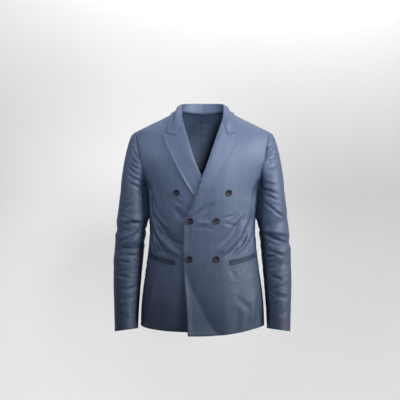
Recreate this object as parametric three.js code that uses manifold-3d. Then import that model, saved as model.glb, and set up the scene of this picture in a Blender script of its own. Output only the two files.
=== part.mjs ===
// Double breasted blazer with peak lapels, hollow and in its worn form.
// Millimetres, +Z up. The fronts face -Y and +X is the wearer's left.
// Every piece is made as if on the wearer's left, and mirrored where it belongs to the right.

import * as THREE from 'three';
import { mergeVertices } from 'three/addons/utils/BufferGeometryUtils.js';
import Module from 'manifold-3d';

const wasm = await Module();
wasm.setup();

const { Vector3 } = THREE;

// Cloth and seams
const CLOTH = 1.8; // thickness of one wall
const SEAM = 0.4; // gap between two pieces at a seam
const LAID = 0.9; // clearance under a piece that lies on another

// Cut of the body
const CHEST_Z = -150; // level of the armhole notches
const PIT_Z = -228; // underarm
const BREAK_Z = -322; // where the lapels start to turn back, just above the middle buttons
const WAIST_Z = -480; // foot of the stretch that the buttons pull into folds
const HEM_Z = -676; // hem at the side seams and the back
const HEM_DROP = { left: 22, right: 11 }; // how much lower each front reaches at its edge
const HEM_POWER = { left: 3, right: 1.5 }; // how quickly that is gone towards the side
const SIDE_ANGLE = THREE.MathUtils.degToRad(94); // side seam, turned from centre front
const GIRTH_RADIUS = 170; // turns an angle round the body into millimetres of girth

// Shoulders and neck
const NECK_X = 78; // neck point, the inner end of the shoulder seam
const NECK_Z = 16;
const SHOULDER_X = 225; // outer end of the shoulder seam
const SHOULDER_DROP = 73;
const CHEST_POWER = 1.7; // roundness of the arc from the chest to the shoulder seam, near the neck
const ARM_POWER = 2.6; // and at its outer end, over the arm
const ARC_X = 110; // where the one begins to turn into the other
const GORGE_SLOPE = 0.45; // rise of the neck edge inside the neck point
const NAPE_Y = 40; // the back neck's reach behind the shoulder seams
const NAPE_RISE = 6;
const NAPE_SCOOP = 0.2; // how far the back neckline is scooped below the shoulder line
const NOTCH_FRONT_X = 198; // armhole's distance from the middle at the chest, on the front
const NOTCH_BACK_X = 203; // and on the back
const GORGE_T = 0.54; // where the collar ends on the front edge, as a share of the way up the chest

// The overlap: the left front is carried over the right front, most at the roll of its lapel.
// Full lift lies inside fullX and below fullZ, and it is gone at goneX and goneZ.
const LIFT = {
  roll: 6.8, skirt: 4.4, skirtZ: -420, rollZ: -345, fullX: 62, goneX: 120, fullZ: -182, goneZ: -110,
};

// Outline of the body at each height: half width, depth of front and back, and power of the curve
const BODY = [
  { z: -705, half: 201, front: 120, back: 122, power: 2.35 },
  { z: -611, half: 198, front: 119, back: 124, power: 2.35 },
  { z: -546, half: 190.5, front: 114, back: 119, power: 2.35 },
  { z: -497, half: 183, front: 110, back: 111, power: 2.35 },
  { z: -452, half: 177.5, front: 107, back: 103, power: 2.35 },
  { z: -403, half: 172.5, front: 106, back: 97, power: 2.35 },
  { z: -370, half: 171, front: 106, back: 96, power: 2.35 },
  { z: -330, half: 172.5, front: 108, back: 99, power: 2.35 },
  { z: -285, half: 176, front: 112, back: 106, power: 2.35 },
  { z: -240, half: 181, front: 116, back: 114, power: 2.3 },
  { z: -200, half: 203, front: 118, back: 118, power: 2.15 },
  { z: -175, half: 220, front: 118, back: 120, power: 2.05 },
  { z: -150, half: 238, front: 118, back: 120, power: 1.95 },
];

// Inner edge of each front: its distance from the middle towards its own side
const FRONT_EDGE = [
  { z: -705, left: -44, right: -44 },
  { z: -675, left: -45, right: -45 },
  { z: -592, left: -50, right: -50 },
  { z: -508, left: -57.5, right: -57.5 },
  { z: -428, left: -59.5, right: -59.5 },
  { z: -379, left: -58, right: -58 },
  { z: -345, left: -54.5, right: -54.5 },
  { z: -300, left: -35, right: -34 },
  { z: -258, left: -19, right: -17 },
  { z: -196, left: 2, right: 7 },
  { z: -157, left: 17, right: 23.5 },
  { z: -117, left: 31, right: 37 },
  { z: -70, left: 47, right: 51 },
  { z: -48, left: 55, right: 58 },
  { z: -25, left: 63, right: 64 },
  { z: 16, left: 78, right: 78 },
];

// Outer edge of each lapel, from the break (0) to the tip of the peak (1)
const LAPEL_EDGE = [
  { way: 0, leftX: -40, leftZ: -321, rightX: -39, rightZ: -321 },
  { way: 0.09, leftX: -24, leftZ: -311, rightX: -22, rightZ: -309 },
  { way: 0.2, leftX: -1, leftZ: -289, rightX: 4, rightZ: -287 },
  { way: 0.35, leftX: 27.5, leftZ: -245, rightX: 39, rightZ: -243 },
  { way: 0.5, leftX: 54, leftZ: -198, rightX: 63, rightZ: -204 },
  { way: 0.65, leftX: 77, leftZ: -158, rightX: 87, rightZ: -157 },
  { way: 0.8, leftX: 98, leftZ: -121, rightX: 106, rightZ: -117 },
  { way: 0.9, leftX: 114.5, leftZ: -97, rightX: 115.5, rightZ: -97 },
  { way: 1, leftX: 118.5, leftZ: -61, rightX: 124.7, rightZ: -65 },
];

// Inner corner of the notch between collar and lapel
const NOTCH = { left: { x: 80, z: -68 }, right: { x: 86, z: -70 } };
const COLLAR_CORNER = { left: { x: 104, z: -57 }, right: { x: 113, z: -60 } };

// Collar, from centre back (0) past the neck point (0.5) to the gorge (1): crest of the roll and fall edge
const COLLAR = [
  { way: 0, crestX: 0, crestY: 66, crestZ: 46, fallX: 0, fallY: 80, fallZ: 1 },
  { way: 0.17, crestX: 33, crestY: 59, crestZ: 45.5, fallX: 40, fallY: 76, fallZ: 1.5 },
  { way: 0.34, crestX: 57, crestY: 37, crestZ: 43, fallX: 74, fallY: 48, fallZ: 5 },
  { way: 0.5, crestX: 69, crestY: 6, crestZ: 38, fallX: 97, fallY: 3, fallZ: 9 },
  { way: 0.65, crestX: 69.5, crestY: -24, crestZ: 24, fallX: 102, fallY: -38, fallZ: -4 },
  { way: 0.8, crestX: 68.5, crestY: -50, crestZ: 4, fallX: 105, fallY: -62, fallZ: -26 },
  { way: 0.9, crestX: 66.5, crestY: -64, crestZ: -10, fallX: 106, fallY: -74, fallZ: -42 },
  { way: 1, crestX: 62, crestY: -76, crestZ: -25, fallX: 104, fallY: -85, fallZ: -57 },
];
const COLLAR_RIGHT_REACH = 9; // how much farther out the right fall ends
const COLLAR_EASE = 2.2; // how far the fall stands off over the shoulders
const COLLAR_BULGE = 4; // how far the fall bows out between its roll and its edge
const STAND_HOLLOW = 0.2; // how far the stand bows in, in roll radii
const ROLL_RADIUS = 2.6;
const BREAK_RADIUS = 2.1;
const ROLL_FADE = 16; // a turned-back piece comes down from its roll over this distance
const LAPEL_PUFF = 1.5; // and swells by this much once more
const PUFF_REACH = 12;

// Sleeve: centre and half sizes of the tube at each height
const SLEEVE = [
  { z: -690, midX: 245, midY: -30, halfX: 37.5, halfY: 48 },
  { z: -615, midX: 245, midY: -18, halfX: 40.5, halfY: 52 },
  { z: -540, midX: 244, midY: -6, halfX: 44.5, halfY: 56 },
  { z: -460, midX: 240, midY: 4, halfX: 47.5, halfY: 61 },
  { z: -400, midX: 235, midY: 6, halfX: 48, halfY: 64 },
  { z: -330, midX: 227.5, midY: 5, halfX: 49.5, halfY: 66.5 },
  { z: -290, midX: 226, midY: 3, halfX: 46, halfY: 68 },
  { z: -240, midX: 224.5, midY: 2, halfX: 41, halfY: 70 },
];
const SLEEVE_TOP_Z = -240; // foot of the sleeve cap
const ELBOW_TOP_Z = -310;
const ELBOW_FOOT_Z = -500;
const CUFF_Z = -690;
const CUFF_DROP = 5; // the cuff hangs lower on its outer side
const CUFF_TILT = 0.125; // and lower at the back than at the front
const SLEEVE_CLEAR = 3.2; // air between sleeve and body
const ARM_RADIUS = 55; // turns degrees round the sleeve into millimetres of girth

// Sleeve cap: how it leaves the armhole (forward share, drop, further drop at the crown), and how
// strongly its curve follows that start and the plumb line at its foot, as shares of its length
const CAP = { spread: 0.25, drop: 0.35, crownDrop: 0.65, start: 0.47, foot: 0.65 };

// Largest folds of the fronts: from and to, as degrees round from centre front and height,
// and how far the middle of each strays sideways
const FRONT_FOLDS = [
  { side: 'right', from: 64, fromZ: -322, to: 17, toZ: -424, bow: -7, depth: -8.5, width: 14 },
  { side: 'right', from: 64, fromZ: -349, to: 18, toZ: -448, bow: -6, depth: 5.5, width: 14 },
  { side: 'right', from: 67, fromZ: -372, to: 37, toZ: -446, bow: -4, depth: -7, width: 12 },
  { side: 'right', from: 27, fromZ: -300, to: 15, toZ: -338, bow: 0, depth: -4, width: 12 },
  { side: 'right', from: 52, fromZ: -540, to: 62, toZ: -670, bow: 3, depth: 3, width: 15 },
  { side: 'left', from: 38, fromZ: -342, to: 16, toZ: -416, bow: -4, depth: -4.3, width: 12 },
  { side: 'left', from: 52, fromZ: -345, to: 14, toZ: -448, bow: -6, depth: 5, width: 13 },
  { side: 'left', from: 61, fromZ: -338, to: 39, toZ: -415, bow: -4, depth: -6.5, width: 11 },
  { side: 'left', from: 37, fromZ: -412, to: 20, toZ: -455, bow: 0, depth: -4.5, width: 12 },
  { side: 'left', from: 9, fromZ: -284, to: -1, toZ: -334, bow: 2, depth: -1.5, width: 11 },
  { side: 'left', from: -12, fromZ: -505, to: 9, toZ: -672, bow: -10, depth: 3, width: 20 },
  { side: 'left', from: -5, fromZ: -500, to: 14, toZ: -610, bow: -6, depth: -2, width: 16 },
  { side: 'left', from: 58, fromZ: -560, to: 48, toZ: -672, bow: 4, depth: 3, width: 16 },
];

// Largest folds of the back, made like those of the fronts
const BACK_FOLDS = [
  { side: 'both', from: 112, fromZ: -322, to: 158, toZ: -392, bow: 6, depth: -6, width: 15 },
  { side: 'both', from: 110, fromZ: -352, to: 150, toZ: -430, bow: 5, depth: 5, width: 15 },
  { side: 'both', from: 124, fromZ: -235, to: 120, toZ: -320, bow: 3, depth: -3.5, width: 13 },
  { side: 'left', from: 150, fromZ: -520, to: 156, toZ: -660, bow: 4, depth: 3, width: 17 },
  { side: 'right', from: 128, fromZ: -510, to: 121, toZ: -665, bow: 4, depth: 3, width: 17 },
];

// Folds at the elbows: place round the sleeve in degrees from its outer side towards the front
const SLEEVE_FOLDS = [
  { side: 'right', turn: 75, z: -338, tilt: 0.1, reach: 62, depth: 3, width: 13 },
  { side: 'right', turn: 25, z: -366, tilt: 0.05, reach: 58, depth: -3, width: 12 },
  { side: 'right', turn: 70, z: -396, tilt: -0.15, reach: 70, depth: 3, width: 13 },
  { side: 'right', turn: 85, z: -428, tilt: 0.12, reach: 66, depth: -3, width: 12 },
  { side: 'right', turn: 60, z: -470, tilt: -0.1, reach: 62, depth: 2.5, width: 14 },
  { side: 'left', turn: 60, z: -344, tilt: -0.25, reach: 66, depth: -3, width: 12 },
  { side: 'left', turn: 80, z: -374, tilt: 0.08, reach: 60, depth: 3, width: 13 },
  { side: 'left', turn: 55, z: -404, tilt: 0.15, reach: 66, depth: -3, width: 12 },
  { side: 'left', turn: 75, z: -436, tilt: -0.1, reach: 70, depth: 3, width: 13 },
  { side: 'left', turn: 65, z: -478, tilt: 0.1, reach: 60, depth: -2.5, width: 13 },
  { side: 'both', turn: 250, z: -352, tilt: 0.2, reach: 60, depth: -3, width: 14 },
  { side: 'both', turn: 265, z: -420, tilt: -0.15, reach: 64, depth: 2.5, width: 14 },
];

// Hip pockets
const POCKET = { startX: 86, startZ: -471, length: 136, rise: 0.165, jet: 7, slit: 0.6, cloth: 1.5 };

// Buttons: place on the front that carries each, towards that front's own side
const BUTTON = { radius: 10, height: 3.4, rim: 1.5, dish: 1.1, hole: 0.95, pitch: 2.1, seat: 0.9 };
const BUTTONS = [
  { name: 'button_top_right', side: 'right', x: 81.4, z: -250 },
  { name: 'button_top_left', side: 'left', x: 81.4, z: -250 },
  { name: 'button_middle_right', side: 'left', x: -37.8, z: -338.6 },
  { name: 'button_middle_left', side: 'left', x: 43.4, z: -338.6 },
  { name: 'button_bottom_right', side: 'left', x: -40.3, z: -459.5 },
  { name: 'button_bottom_left', side: 'left', x: 44, z: -459.5 },
];
const FLAT_ROUND_BUTTON = 17; // the cloth is drawn flat this far round a button

// Number of strips that each piece is made of
const STRIPS = {
  frontAcross: 11,
  armhole: 5,
  skirt: 6,
  waist: 7,
  chest: 8,
  lapelRise: 4,
  neckRise: 5,
  backNeck: 5,
  backShoulder: 3,
  backRise: 6,
  cap: 5,
  upperArm: 3,
  elbow: 8,
  forearm: 3,
  jet: 12,
};

// Materials
const SLATE = new THREE.MeshStandardMaterial({ color: 0x4b5c78, roughness: 0.6, metalness: 0 });
const HORN = new THREE.MeshStandardMaterial({ color: 0x14161a, roughness: 0.35, metalness: 0 });

const { lerp, clamp, smoothstep, degToRad, euclideanModulo } = THREE.MathUtils;

// Value of a table's column at a place between its rows, on a smooth curve through them
function tableValue(table, key, place, column) {
  const last = table.length - 1;
  if (place <= table[0][key]) return table[0][column];
  if (place >= table[last][key]) return table[last][column];
  let row = 0;
  while (table[row + 1][key] < place) row += 1;
  const slope = (index) => {
    const before = table[Math.max(index - 1, 0)];
    const after = table[Math.min(index + 1, last)];
    return (after[column] - before[column]) / (after[key] - before[key]);
  };
  const width = table[row + 1][key] - table[row][key];
  const rise = table[row + 1][column] - table[row][column];
  const first = slope(row) * width;
  const second = slope(row + 1) * width;
  const s = (place - table[row][key]) / width;
  const square = 3 * rise - 2 * first - second;
  const cube = first + second - 2 * rise;
  return table[row][column] + s * (first + s * (square + s * cube));
}

// Places from start to end in equal steps, the start left out
function steps(start, end, count) {
  return Array.from({ length: count }, (_, index) => lerp(start, end, (index + 1) / count));
}

// Unit normal of a surface given by a function of two values
function surfaceNormal(surface, u, v, stepU, stepV) {
  const across = surface(u + stepU, v).sub(surface(u - stepU, v));
  const up = surface(u, v + stepV).sub(surface(u, v - stepV));
  return across.cross(up).normalize();
}

// Body form below the notches, as a rounded outline at each height

function bodyOutline(z) {
  return {
    half: tableValue(BODY, 'z', z, 'half'),
    front: tableValue(BODY, 'z', z, 'front'),
    back: tableValue(BODY, 'z', z, 'back'),
    power: tableValue(BODY, 'z', z, 'power'),
  };
}

// Point of the form at an angle turned from centre front towards the side
function bodyPoint(angle, z) {
  const outline = bodyOutline(z);
  const sharpness = 2 / outline.power;
  const across = Math.sign(Math.sin(angle)) * Math.abs(Math.sin(angle)) ** sharpness;
  const deep = Math.abs(Math.cos(angle)) ** sharpness;
  const y = Math.cos(angle) > 0 ? -outline.front * deep : outline.back * deep;
  return new Vector3(outline.half * across, y, z);
}

// Angle of the form's front at a distance from the middle
function frontAngle(x, z) {
  const outline = bodyOutline(z);
  const share = Math.min(Math.abs(x) / outline.half, 1);
  return Math.sign(x) * Math.asin(share ** (outline.power / 2));
}

function backAngle(x, z) {
  return Math.PI - frontAngle(x, z);
}

function bodyNormal(angle, z) {
  return surfaceNormal(bodyPoint, angle, z, 0.01, 1);
}

// Body form above the notches, rising on an arc from the chest to the shoulder line

// Top of the form over a distance from the middle
function ridge(x, back) {
  const seamY = back ? SEAM / 2 : -SEAM / 2;
  if (x >= NECK_X) {
    const slope = SHOULDER_DROP / (SHOULDER_X - NECK_X);
    return { y: seamY, z: NECK_Z - (x - NECK_X) * slope };
  }
  if (!back) return { y: seamY, z: NECK_Z + (NECK_X - x) * GORGE_SLOPE };
  const inward = 1 - (x / NECK_X) ** 2;
  return { y: seamY + NAPE_Y * Math.sqrt(inward), z: NECK_Z + NAPE_RISE * inward };
}

// Depth of the form at the level of the notches
function chestDepth(x, back) {
  const outline = bodyOutline(CHEST_Z);
  const share = Math.max(1 - (Math.abs(x) / outline.half) ** outline.power, 0) ** (1 / outline.power);
  return back ? outline.back * share : -outline.front * share;
}

const arcPower = (x) => lerp(CHEST_POWER, ARM_POWER, smoothstep(x, ARC_X, SHOULDER_X));

// Point of the form over a distance from the middle, from the chest (0) up to the shoulder line (1)
function shoulderPoint(x, t, back = false) {
  const top = ridge(x, back);
  const turn = (Math.PI / 2) * t;
  const rise = Math.sin(turn) ** (2 / arcPower(x));
  const fall = Math.cos(turn) ** (2 / arcPower(x));
  const y = top.y + (chestDepth(x, back) - top.y) * fall;
  return new Vector3(x, y, CHEST_Z + (top.z - CHEST_Z) * rise);
}

function shoulderNormal(x, t, back) {
  const inside = clamp(t, 0.01, 0.985);
  const at = (across, up) => shoulderPoint(across, up, back);
  const normal = surfaceNormal(at, x, inside, 0.5, 0.01);
  if (back) normal.negate();
  if (t === 1) normal.setY(0);
  return normal.normalize();
}

// Depth of the front at a place seen from the front
function frontDepth(x, z) {
  if (z <= CHEST_Z) {
    const outline = bodyOutline(z);
    const share = Math.max(1 - (Math.abs(x) / outline.half) ** outline.power, 0);
    return -outline.front * share ** (1 / outline.power);
  }
  const rise = Math.min((z - CHEST_Z) / (ridge(x, false).z - CHEST_Z), 1);
  return chestDepth(x, false) * (1 - rise ** arcPower(x)) ** (1 / arcPower(x));
}

// Folds, and the lift of the overlapping front

// Height of the folds in a table at an angle round the body, each a soft trough or ridge
function foldHeight(folds, side, angle, z) {
  let height = 0;
  for (const fold of folds) {
    if (fold.side !== side && fold.side !== 'both') continue;
    const startX = degToRad(fold.from) * GIRTH_RADIUS;
    const alongX = degToRad(fold.to) * GIRTH_RADIUS - startX;
    const alongZ = fold.toZ - fold.fromZ;
    const length = Math.hypot(alongX, alongZ);
    const offX = angle * GIRTH_RADIUS - startX;
    const offZ = z - fold.fromZ;
    const way = (offX * alongX + offZ * alongZ) / length ** 2;
    const beside = (offX * alongZ - offZ * alongX) / length - fold.bow * 4 * way * (1 - way);
    const taper = Math.exp(-1.2 * Math.abs(2 * way - 1) ** 4);
    height += fold.depth * taper * Math.exp(-((beside / fold.width) ** 2));
  }
  return height;
}

// Share of the folds that is left near a button that lies on a front
function awayFromButtons(side, x, z) {
  let share = 1;
  for (const button of BUTTONS) {
    if (button.side !== side) continue;
    const distance = Math.hypot(x - button.x, z - button.z);
    share *= smoothstep(distance, FLAT_ROUND_BUTTON, 2 * FLAT_ROUND_BUTTON);
  }
  return share;
}

// Share of the folds that is left near the pocket
function awayFromPocket(angle, z) {
  const start = frontAngle(POCKET.startX, POCKET.startZ);
  const girth = (angle - start) * GIRTH_RADIUS;
  const level = POCKET.startZ + POCKET.rise * girth;
  const beside = girth < 0 ? Math.hypot(girth, z - level) : Math.abs(z - level);
  return smoothstep(beside, POCKET.jet + 4, POCKET.jet + 26);
}

function overlapLift(x, z) {
  const across = 1 - smoothstep(x, LIFT.fullX, LIFT.goneX);
  const begin = 1 - smoothstep(z, LIFT.fullZ, LIFT.goneZ);
  return across * begin * lerp(LIFT.skirt, LIFT.roll, smoothstep(z, LIFT.skirtZ, LIFT.rollZ));
}

// Height of a front over the form
function frontRise(side, angle, x, z) {
  const lift = side === 'left' ? overlapLift(x, z) : 0;
  if (z > PIT_Z) return lift;
  const fade = 1 - smoothstep(z, -255, PIT_Z);
  const folds = foldHeight(FRONT_FOLDS, side, angle, z);
  return lift + folds * fade * awayFromButtons(side, x, z) * awayFromPocket(angle, z);
}

function backRise(side, angle, z) {
  const fade = 1 - smoothstep(z, -240, -215);
  return foldHeight(BACK_FOLDS, side, angle, z) * fade;
}

// A point of a cloth's outer face, moved out along the form's normal
function clothPoint(base, normal, height) {
  return { point: base.clone().addScaledVector(normal, height), normal };
}

function frontPanelPoint(side, angle, z, height = 0) {
  const base = bodyPoint(angle, z);
  return clothPoint(base, bodyNormal(angle, z), frontRise(side, angle, base.x, z) + height);
}

// The same front, at a place seen from the front
function frontViewPoint(side, x, z, height = 0) {
  const slopeX = frontDepth(x + 0.5, z) - frontDepth(x - 0.5, z);
  const slopeZ = frontDepth(x, z + 0.5) - frontDepth(x, z - 0.5);
  const normal = new Vector3(slopeX, -1, slopeZ).normalize();
  const angle = frontAngle(x, Math.min(z, CHEST_Z));
  const base = new Vector3(x, frontDepth(x, z), z);
  return clothPoint(base, normal, frontRise(side, angle, x, z) + height);
}

// Cloth walls

const key = (point) => `${point.x.toFixed(3)},${point.y.toFixed(3)},${point.z.toFixed(3)}`;

// Closed wall under one or more grids of outer points, welded where they meet. A grid's columns turned
// onto its rows face out. The wall's inner face lies one thickness behind, and its edges are closed.
function clothWall(grids, thickness, mirrored = false) {
  const places = new Map();
  const outer = [];
  const inner = [];
  const indexOf = ({ point, normal }) => {
    const name = key(point);
    if (!places.has(name)) {
      places.set(name, outer.length);
      outer.push(point);
      inner.push(point.clone().addScaledVector(normal, -thickness));
    }
    return places.get(name);
  };
  const faces = [];
  for (const grid of grids) {
    const ids = grid.map((row) => row.map(indexOf));
    for (let r = 0; r + 1 < ids.length; r += 1) {
      for (let c = 0; c + 1 < ids[r].length; c += 1) {
        const [a, b, d, e] = [ids[r][c], ids[r][c + 1], ids[r + 1][c + 1], ids[r + 1][c]];
        const short = outer[a].distanceTo(outer[d]) <= outer[b].distanceTo(outer[e]);
        if (short) faces.push([a, b, d], [a, d, e]);
        else faces.push([a, b, e], [b, d, e]);
      }
    }
  }
  const count = outer.length;
  const triangles = [];
  const open = new Map();
  for (const [a, b, c] of faces) {
    triangles.push([a, b, c], [a + count, c + count, b + count]);
    for (const [from, to] of [[a, b], [b, c], [c, a]]) {
      if (!open.delete(`${to}-${from}`)) open.set(`${from}-${to}`, [from, to]);
    }
  }
  for (const [from, to] of open.values()) {
    triangles.push([to, from, from + count], [to, from + count, to + count]);
  }
  const positions = [...outer, ...inner].flatMap((p) => [mirrored ? -p.x : p.x, p.y, p.z]);
  const geometry = new THREE.BufferGeometry();
  geometry.setAttribute('position', new THREE.Float32BufferAttribute(positions, 3));
  geometry.setIndex(triangles.flatMap(([a, b, c]) => (mirrored ? [a, c, b] : [a, b, c])));
  return geometry;
}

// Normals of a grid of plain points, from its neighbours; a closed grid's columns run all round
function withNormals(points, closed = false) {
  return points.map((row, r) => row.map((point, c) => {
    const last = row.length - 1;
    const before = closed ? (c + last) % row.length : Math.max(c - 1, 0);
    const after = closed ? (c + 1) % row.length : Math.min(c + 1, last);
    const across = row[after].clone().sub(row[before]);
    const above = points[Math.min(r + 1, points.length - 1)][c];
    const below = points[Math.max(r - 1, 0)][c];
    return { point, normal: across.cross(above.clone().sub(below)).normalize() };
  }));
}

// Armhole: upper part up the shoulder, lower part a quarter oval down to the underarm

const UPPER_T = [0, ...steps(0, GORGE_T, STRIPS.lapelRise), ...steps(GORGE_T, 1, STRIPS.neckRise)];
const BACK_T = [0, ...steps(0, 1, STRIPS.backRise)];
const SEAM_TURN = SEAM / 2 / tableValue(BODY, 'z', PIT_Z, 'front'); // half a seam, as an angle

const frontArmholeX = (t) => NOTCH_FRONT_X + (SHOULDER_X - NOTCH_FRONT_X) * t ** 0.8;
const backArmholeX = (t) => NOTCH_BACK_X + (SHOULDER_X - NOTCH_BACK_X) * t;

// Angle and height of the lower armhole at each step from a notch to the underarm
function lowerArmhole(step, back) {
  const turn = (Math.PI / 2) * (step / STRIPS.armhole);
  const notch = back ? backAngle(NOTCH_BACK_X, CHEST_Z) : frontAngle(NOTCH_FRONT_X, CHEST_Z);
  const side = SIDE_ANGLE + (back ? SEAM_TURN : -SEAM_TURN);
  return {
    angle: lerp(notch, side, 1 - Math.cos(turn)),
    z: CHEST_Z + (PIT_Z - CHEST_Z) * Math.sin(turn),
  };
}

// Closed loop of armhole points: down the front from the shoulder seam, and up the back
function armholeLoop() {
  const lower = (back) => Array.from({ length: STRIPS.armhole }, (_, index) => {
    const place = lowerArmhole(index + 1, back);
    return bodyPoint(place.angle, place.z);
  });
  const front = [...UPPER_T].reverse().map((t) => shoulderPoint(frontArmholeX(t), t));
  const back = BACK_T.map((t) => shoulderPoint(backArmholeX(t), t, true));
  const downFront = [...front, ...lower(false)];
  const upBack = [...lower(true).reverse(), ...back];
  const shoulder = downFront[0].clone().lerp(upBack.at(-1), 0.5);
  const pit = downFront.at(-1).clone().lerp(upBack[0], 0.5);
  return {
    points: [shoulder, ...downFront.slice(1, -1), pit, ...upBack.slice(1, -1)],
    pitIndex: downFront.length - 1,
    frontSeam: UPPER_T.length - 1 + Math.floor(STRIPS.armhole / 2),
    backSeam: downFront.length - 1 + STRIPS.armhole,
  };
}

// Fronts

const frontEdge = (side, z) => tableValue(FRONT_EDGE, 'z', z, side);

// Inner edge of a front above the notches, where it rises with the form
function risingEdge(side, t) {
  const rise = Math.sin((Math.PI / 2) * t) ** (2 / CHEST_POWER);
  let x = frontEdge(side, CHEST_Z);
  for (let round = 0; round < 6; round += 1) {
    x = frontEdge(side, CHEST_Z + (ridge(x, false).z - CHEST_Z) * rise);
  }
  return x;
}

function hemHeight(side, angle) {
  return HEM_Z - HEM_DROP[side] * Math.max(Math.cos(angle), 0) ** HEM_POWER[side];
}

// Shares of the way up a front's columns, with a row at the waist and at the break
function frontRows(side) {
  const foot = hemHeight(side, frontAngle(frontEdge(side, HEM_Z), HEM_Z));
  const share = (z) => (z - foot) / (CHEST_Z - foot);
  return [
    0,
    ...steps(0, share(WAIST_Z), STRIPS.skirt),
    ...steps(share(WAIST_Z), share(BREAK_Z), STRIPS.waist),
    ...steps(share(BREAK_Z), 1, STRIPS.chest),
  ];
}

function frontGrids(side) {
  const sideAngle = SIDE_ANGLE - SEAM_TURN;
  const innerAngle = (z) => frontAngle(frontEdge(side, z), z);
  const shareAt = (angle, z) => (angle - innerAngle(z)) / (sideAngle - innerAngle(z));
  const notchShare = shareAt(frontAngle(NOTCH_FRONT_X, CHEST_Z), CHEST_Z);
  const columns = [0, ...steps(0, notchShare, STRIPS.frontAcross)].map((share) => ({ share, z: CHEST_Z }));
  for (let step = 1; step <= STRIPS.armhole; step += 1) {
    const place = lowerArmhole(step, false);
    columns.push({ share: shareAt(place.angle, place.z), z: place.z });
  }
  const lower = frontRows(side).map((way) => columns.map((column, index) => {
    const even = index / (columns.length - 1);
    const share = lerp(even, column.share, way ** 2);
    const hem = hemHeight(side, lerp(innerAngle(HEM_Z), sideAngle, even));
    const z = lerp(hem, column.z, way);
    return frontPanelPoint(side, lerp(innerAngle(z), sideAngle, share), z);
  }));
  const upper = UPPER_T.map((t) => columns.slice(0, STRIPS.frontAcross + 1).map((column) => {
    const share = column.share / notchShare;
    const startX = bodyPoint(lerp(innerAngle(CHEST_Z), sideAngle, column.share), CHEST_Z).x;
    const innerMove = risingEdge(side, t) - frontEdge(side, CHEST_Z);
    const outerMove = frontArmholeX(t) - NOTCH_FRONT_X;
    const x = startX + innerMove * (1 - share) + outerMove * share;
    const base = shoulderPoint(x, t);
    const normal = t === 0 ? bodyNormal(frontAngle(x, CHEST_Z), CHEST_Z) : shoulderNormal(x, t, false);
    const lift = side === 'left' ? overlapLift(base.x, base.z) : 0;
    return clothPoint(base, normal, lift);
  }));
  return [lower, upper];
}

// Backs

function backGrids(side) {
  const toSeam = (place) => {
    place.point.x = Math.max(place.point.x, SEAM / 2);
    return place;
  };
  const neckX = Array.from({ length: STRIPS.backNeck + 1 }, (_, index) => (
    NECK_X * Math.cos((Math.PI / 2) * (index / STRIPS.backNeck))
  ));
  neckX[STRIPS.backNeck] = 0;
  const topX = [SHOULDER_X, ...steps(SHOULDER_X, NECK_X, STRIPS.backShoulder), ...neckX.slice(1)];
  const chestX = topX.map((x) => x * (NOTCH_BACK_X / SHOULDER_X));
  const columns = [];
  for (let step = STRIPS.armhole; step > 0; step -= 1) columns.push(lowerArmhole(step, true));
  for (const x of chestX) columns.push({ angle: backAngle(x, CHEST_Z), z: CHEST_Z });
  const sideAngle = SIDE_ANGLE + SEAM_TURN;
  const lower = frontRows(side).map((way) => columns.map((column, index) => {
    const even = lerp(sideAngle, Math.PI, index / (columns.length - 1));
    const angle = lerp(even, column.angle, way ** 2);
    const z = lerp(HEM_Z, column.z, way);
    return toSeam(clothPoint(bodyPoint(angle, z), bodyNormal(angle, z), backRise(side, angle, z)));
  }));
  const upper = BACK_T.map((t) => topX.map((x, index) => {
    const height = t * (1 - NAPE_SCOOP * Math.max(1 - (x / NECK_X) ** 2, 0));
    const across = lerp(chestX[index], x, height);
    const normal = t === 0
      ? bodyNormal(backAngle(across, CHEST_Z), CHEST_Z)
      : shoulderNormal(Math.max(across, 1), height, true);
    return toSeam(clothPoint(shoulderPoint(across, height, true), normal, 0));
  }));
  return [lower, upper];
}

// Lapels

// Height of a turned-back piece over the front that it lies on, at a distance from its roll
function laidHeight(distance, radius, puff) {
  const rest = CLOTH + LAID;
  const roll = (2 * radius - CLOTH - rest) * Math.exp(-((distance / ROLL_FADE) ** 2));
  return rest + roll + puff * (distance / PUFF_REACH) * Math.exp(1 - distance / PUFF_REACH);
}

// Points round a roll, from the front's edge over to its outer face
function rollPoints(edge, away, radius) {
  const centre = edge.point.clone().addScaledVector(away, -SEAM);
  centre.addScaledVector(edge.normal, radius - CLOTH);
  return [0, 45, 90, 135, 180].map((degrees) => {
    const turn = degToRad(degrees);
    const normal = away.clone().multiplyScalar(-Math.sin(turn));
    normal.addScaledVector(edge.normal, -Math.cos(turn));
    return { point: centre.clone().addScaledVector(normal, radius), normal };
  });
}

// Direction along a front's surface from one place to another
function awayFrom(side, x, z, toX, toZ) {
  const reach = Math.hypot(toX - x, toZ - z);
  const start = frontViewPoint(side, x, z);
  const next = frontViewPoint(side, x + (4 * (toX - x)) / reach, z + (4 * (toZ - z)) / reach);
  const away = next.point.sub(start.point);
  return away.addScaledVector(start.normal, -away.dot(start.normal)).normalize();
}

// Gorge seam of one front, from the roll to the notch and on to a corner
function gorge(side, corner, shift) {
  const rollX = risingEdge(side, GORGE_T);
  const rollZ = shoulderPoint(rollX, GORGE_T).z;
  const notch = NOTCH[side];
  const inner = Math.hypot(notch.x - rollX, notch.z - rollZ);
  const outer = Math.hypot(corner.x - notch.x, corner.z - notch.z);
  const bend = inner / (inner + outer);
  const at = (way) => {
    if (way <= bend) {
      return { x: lerp(rollX, notch.x, way / bend), z: lerp(rollZ, notch.z, way / bend) + shift };
    }
    const rest = (way - bend) / (1 - bend);
    return { x: lerp(notch.x, corner.x, rest), z: lerp(notch.z, corner.z, rest) + shift };
  };
  return { bend, at, rollX, rollZ };
}

const lapelTip = (side) => ({ x: LAPEL_EDGE.at(-1)[`${side}X`], z: LAPEL_EDGE.at(-1)[`${side}Z`] });

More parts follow.
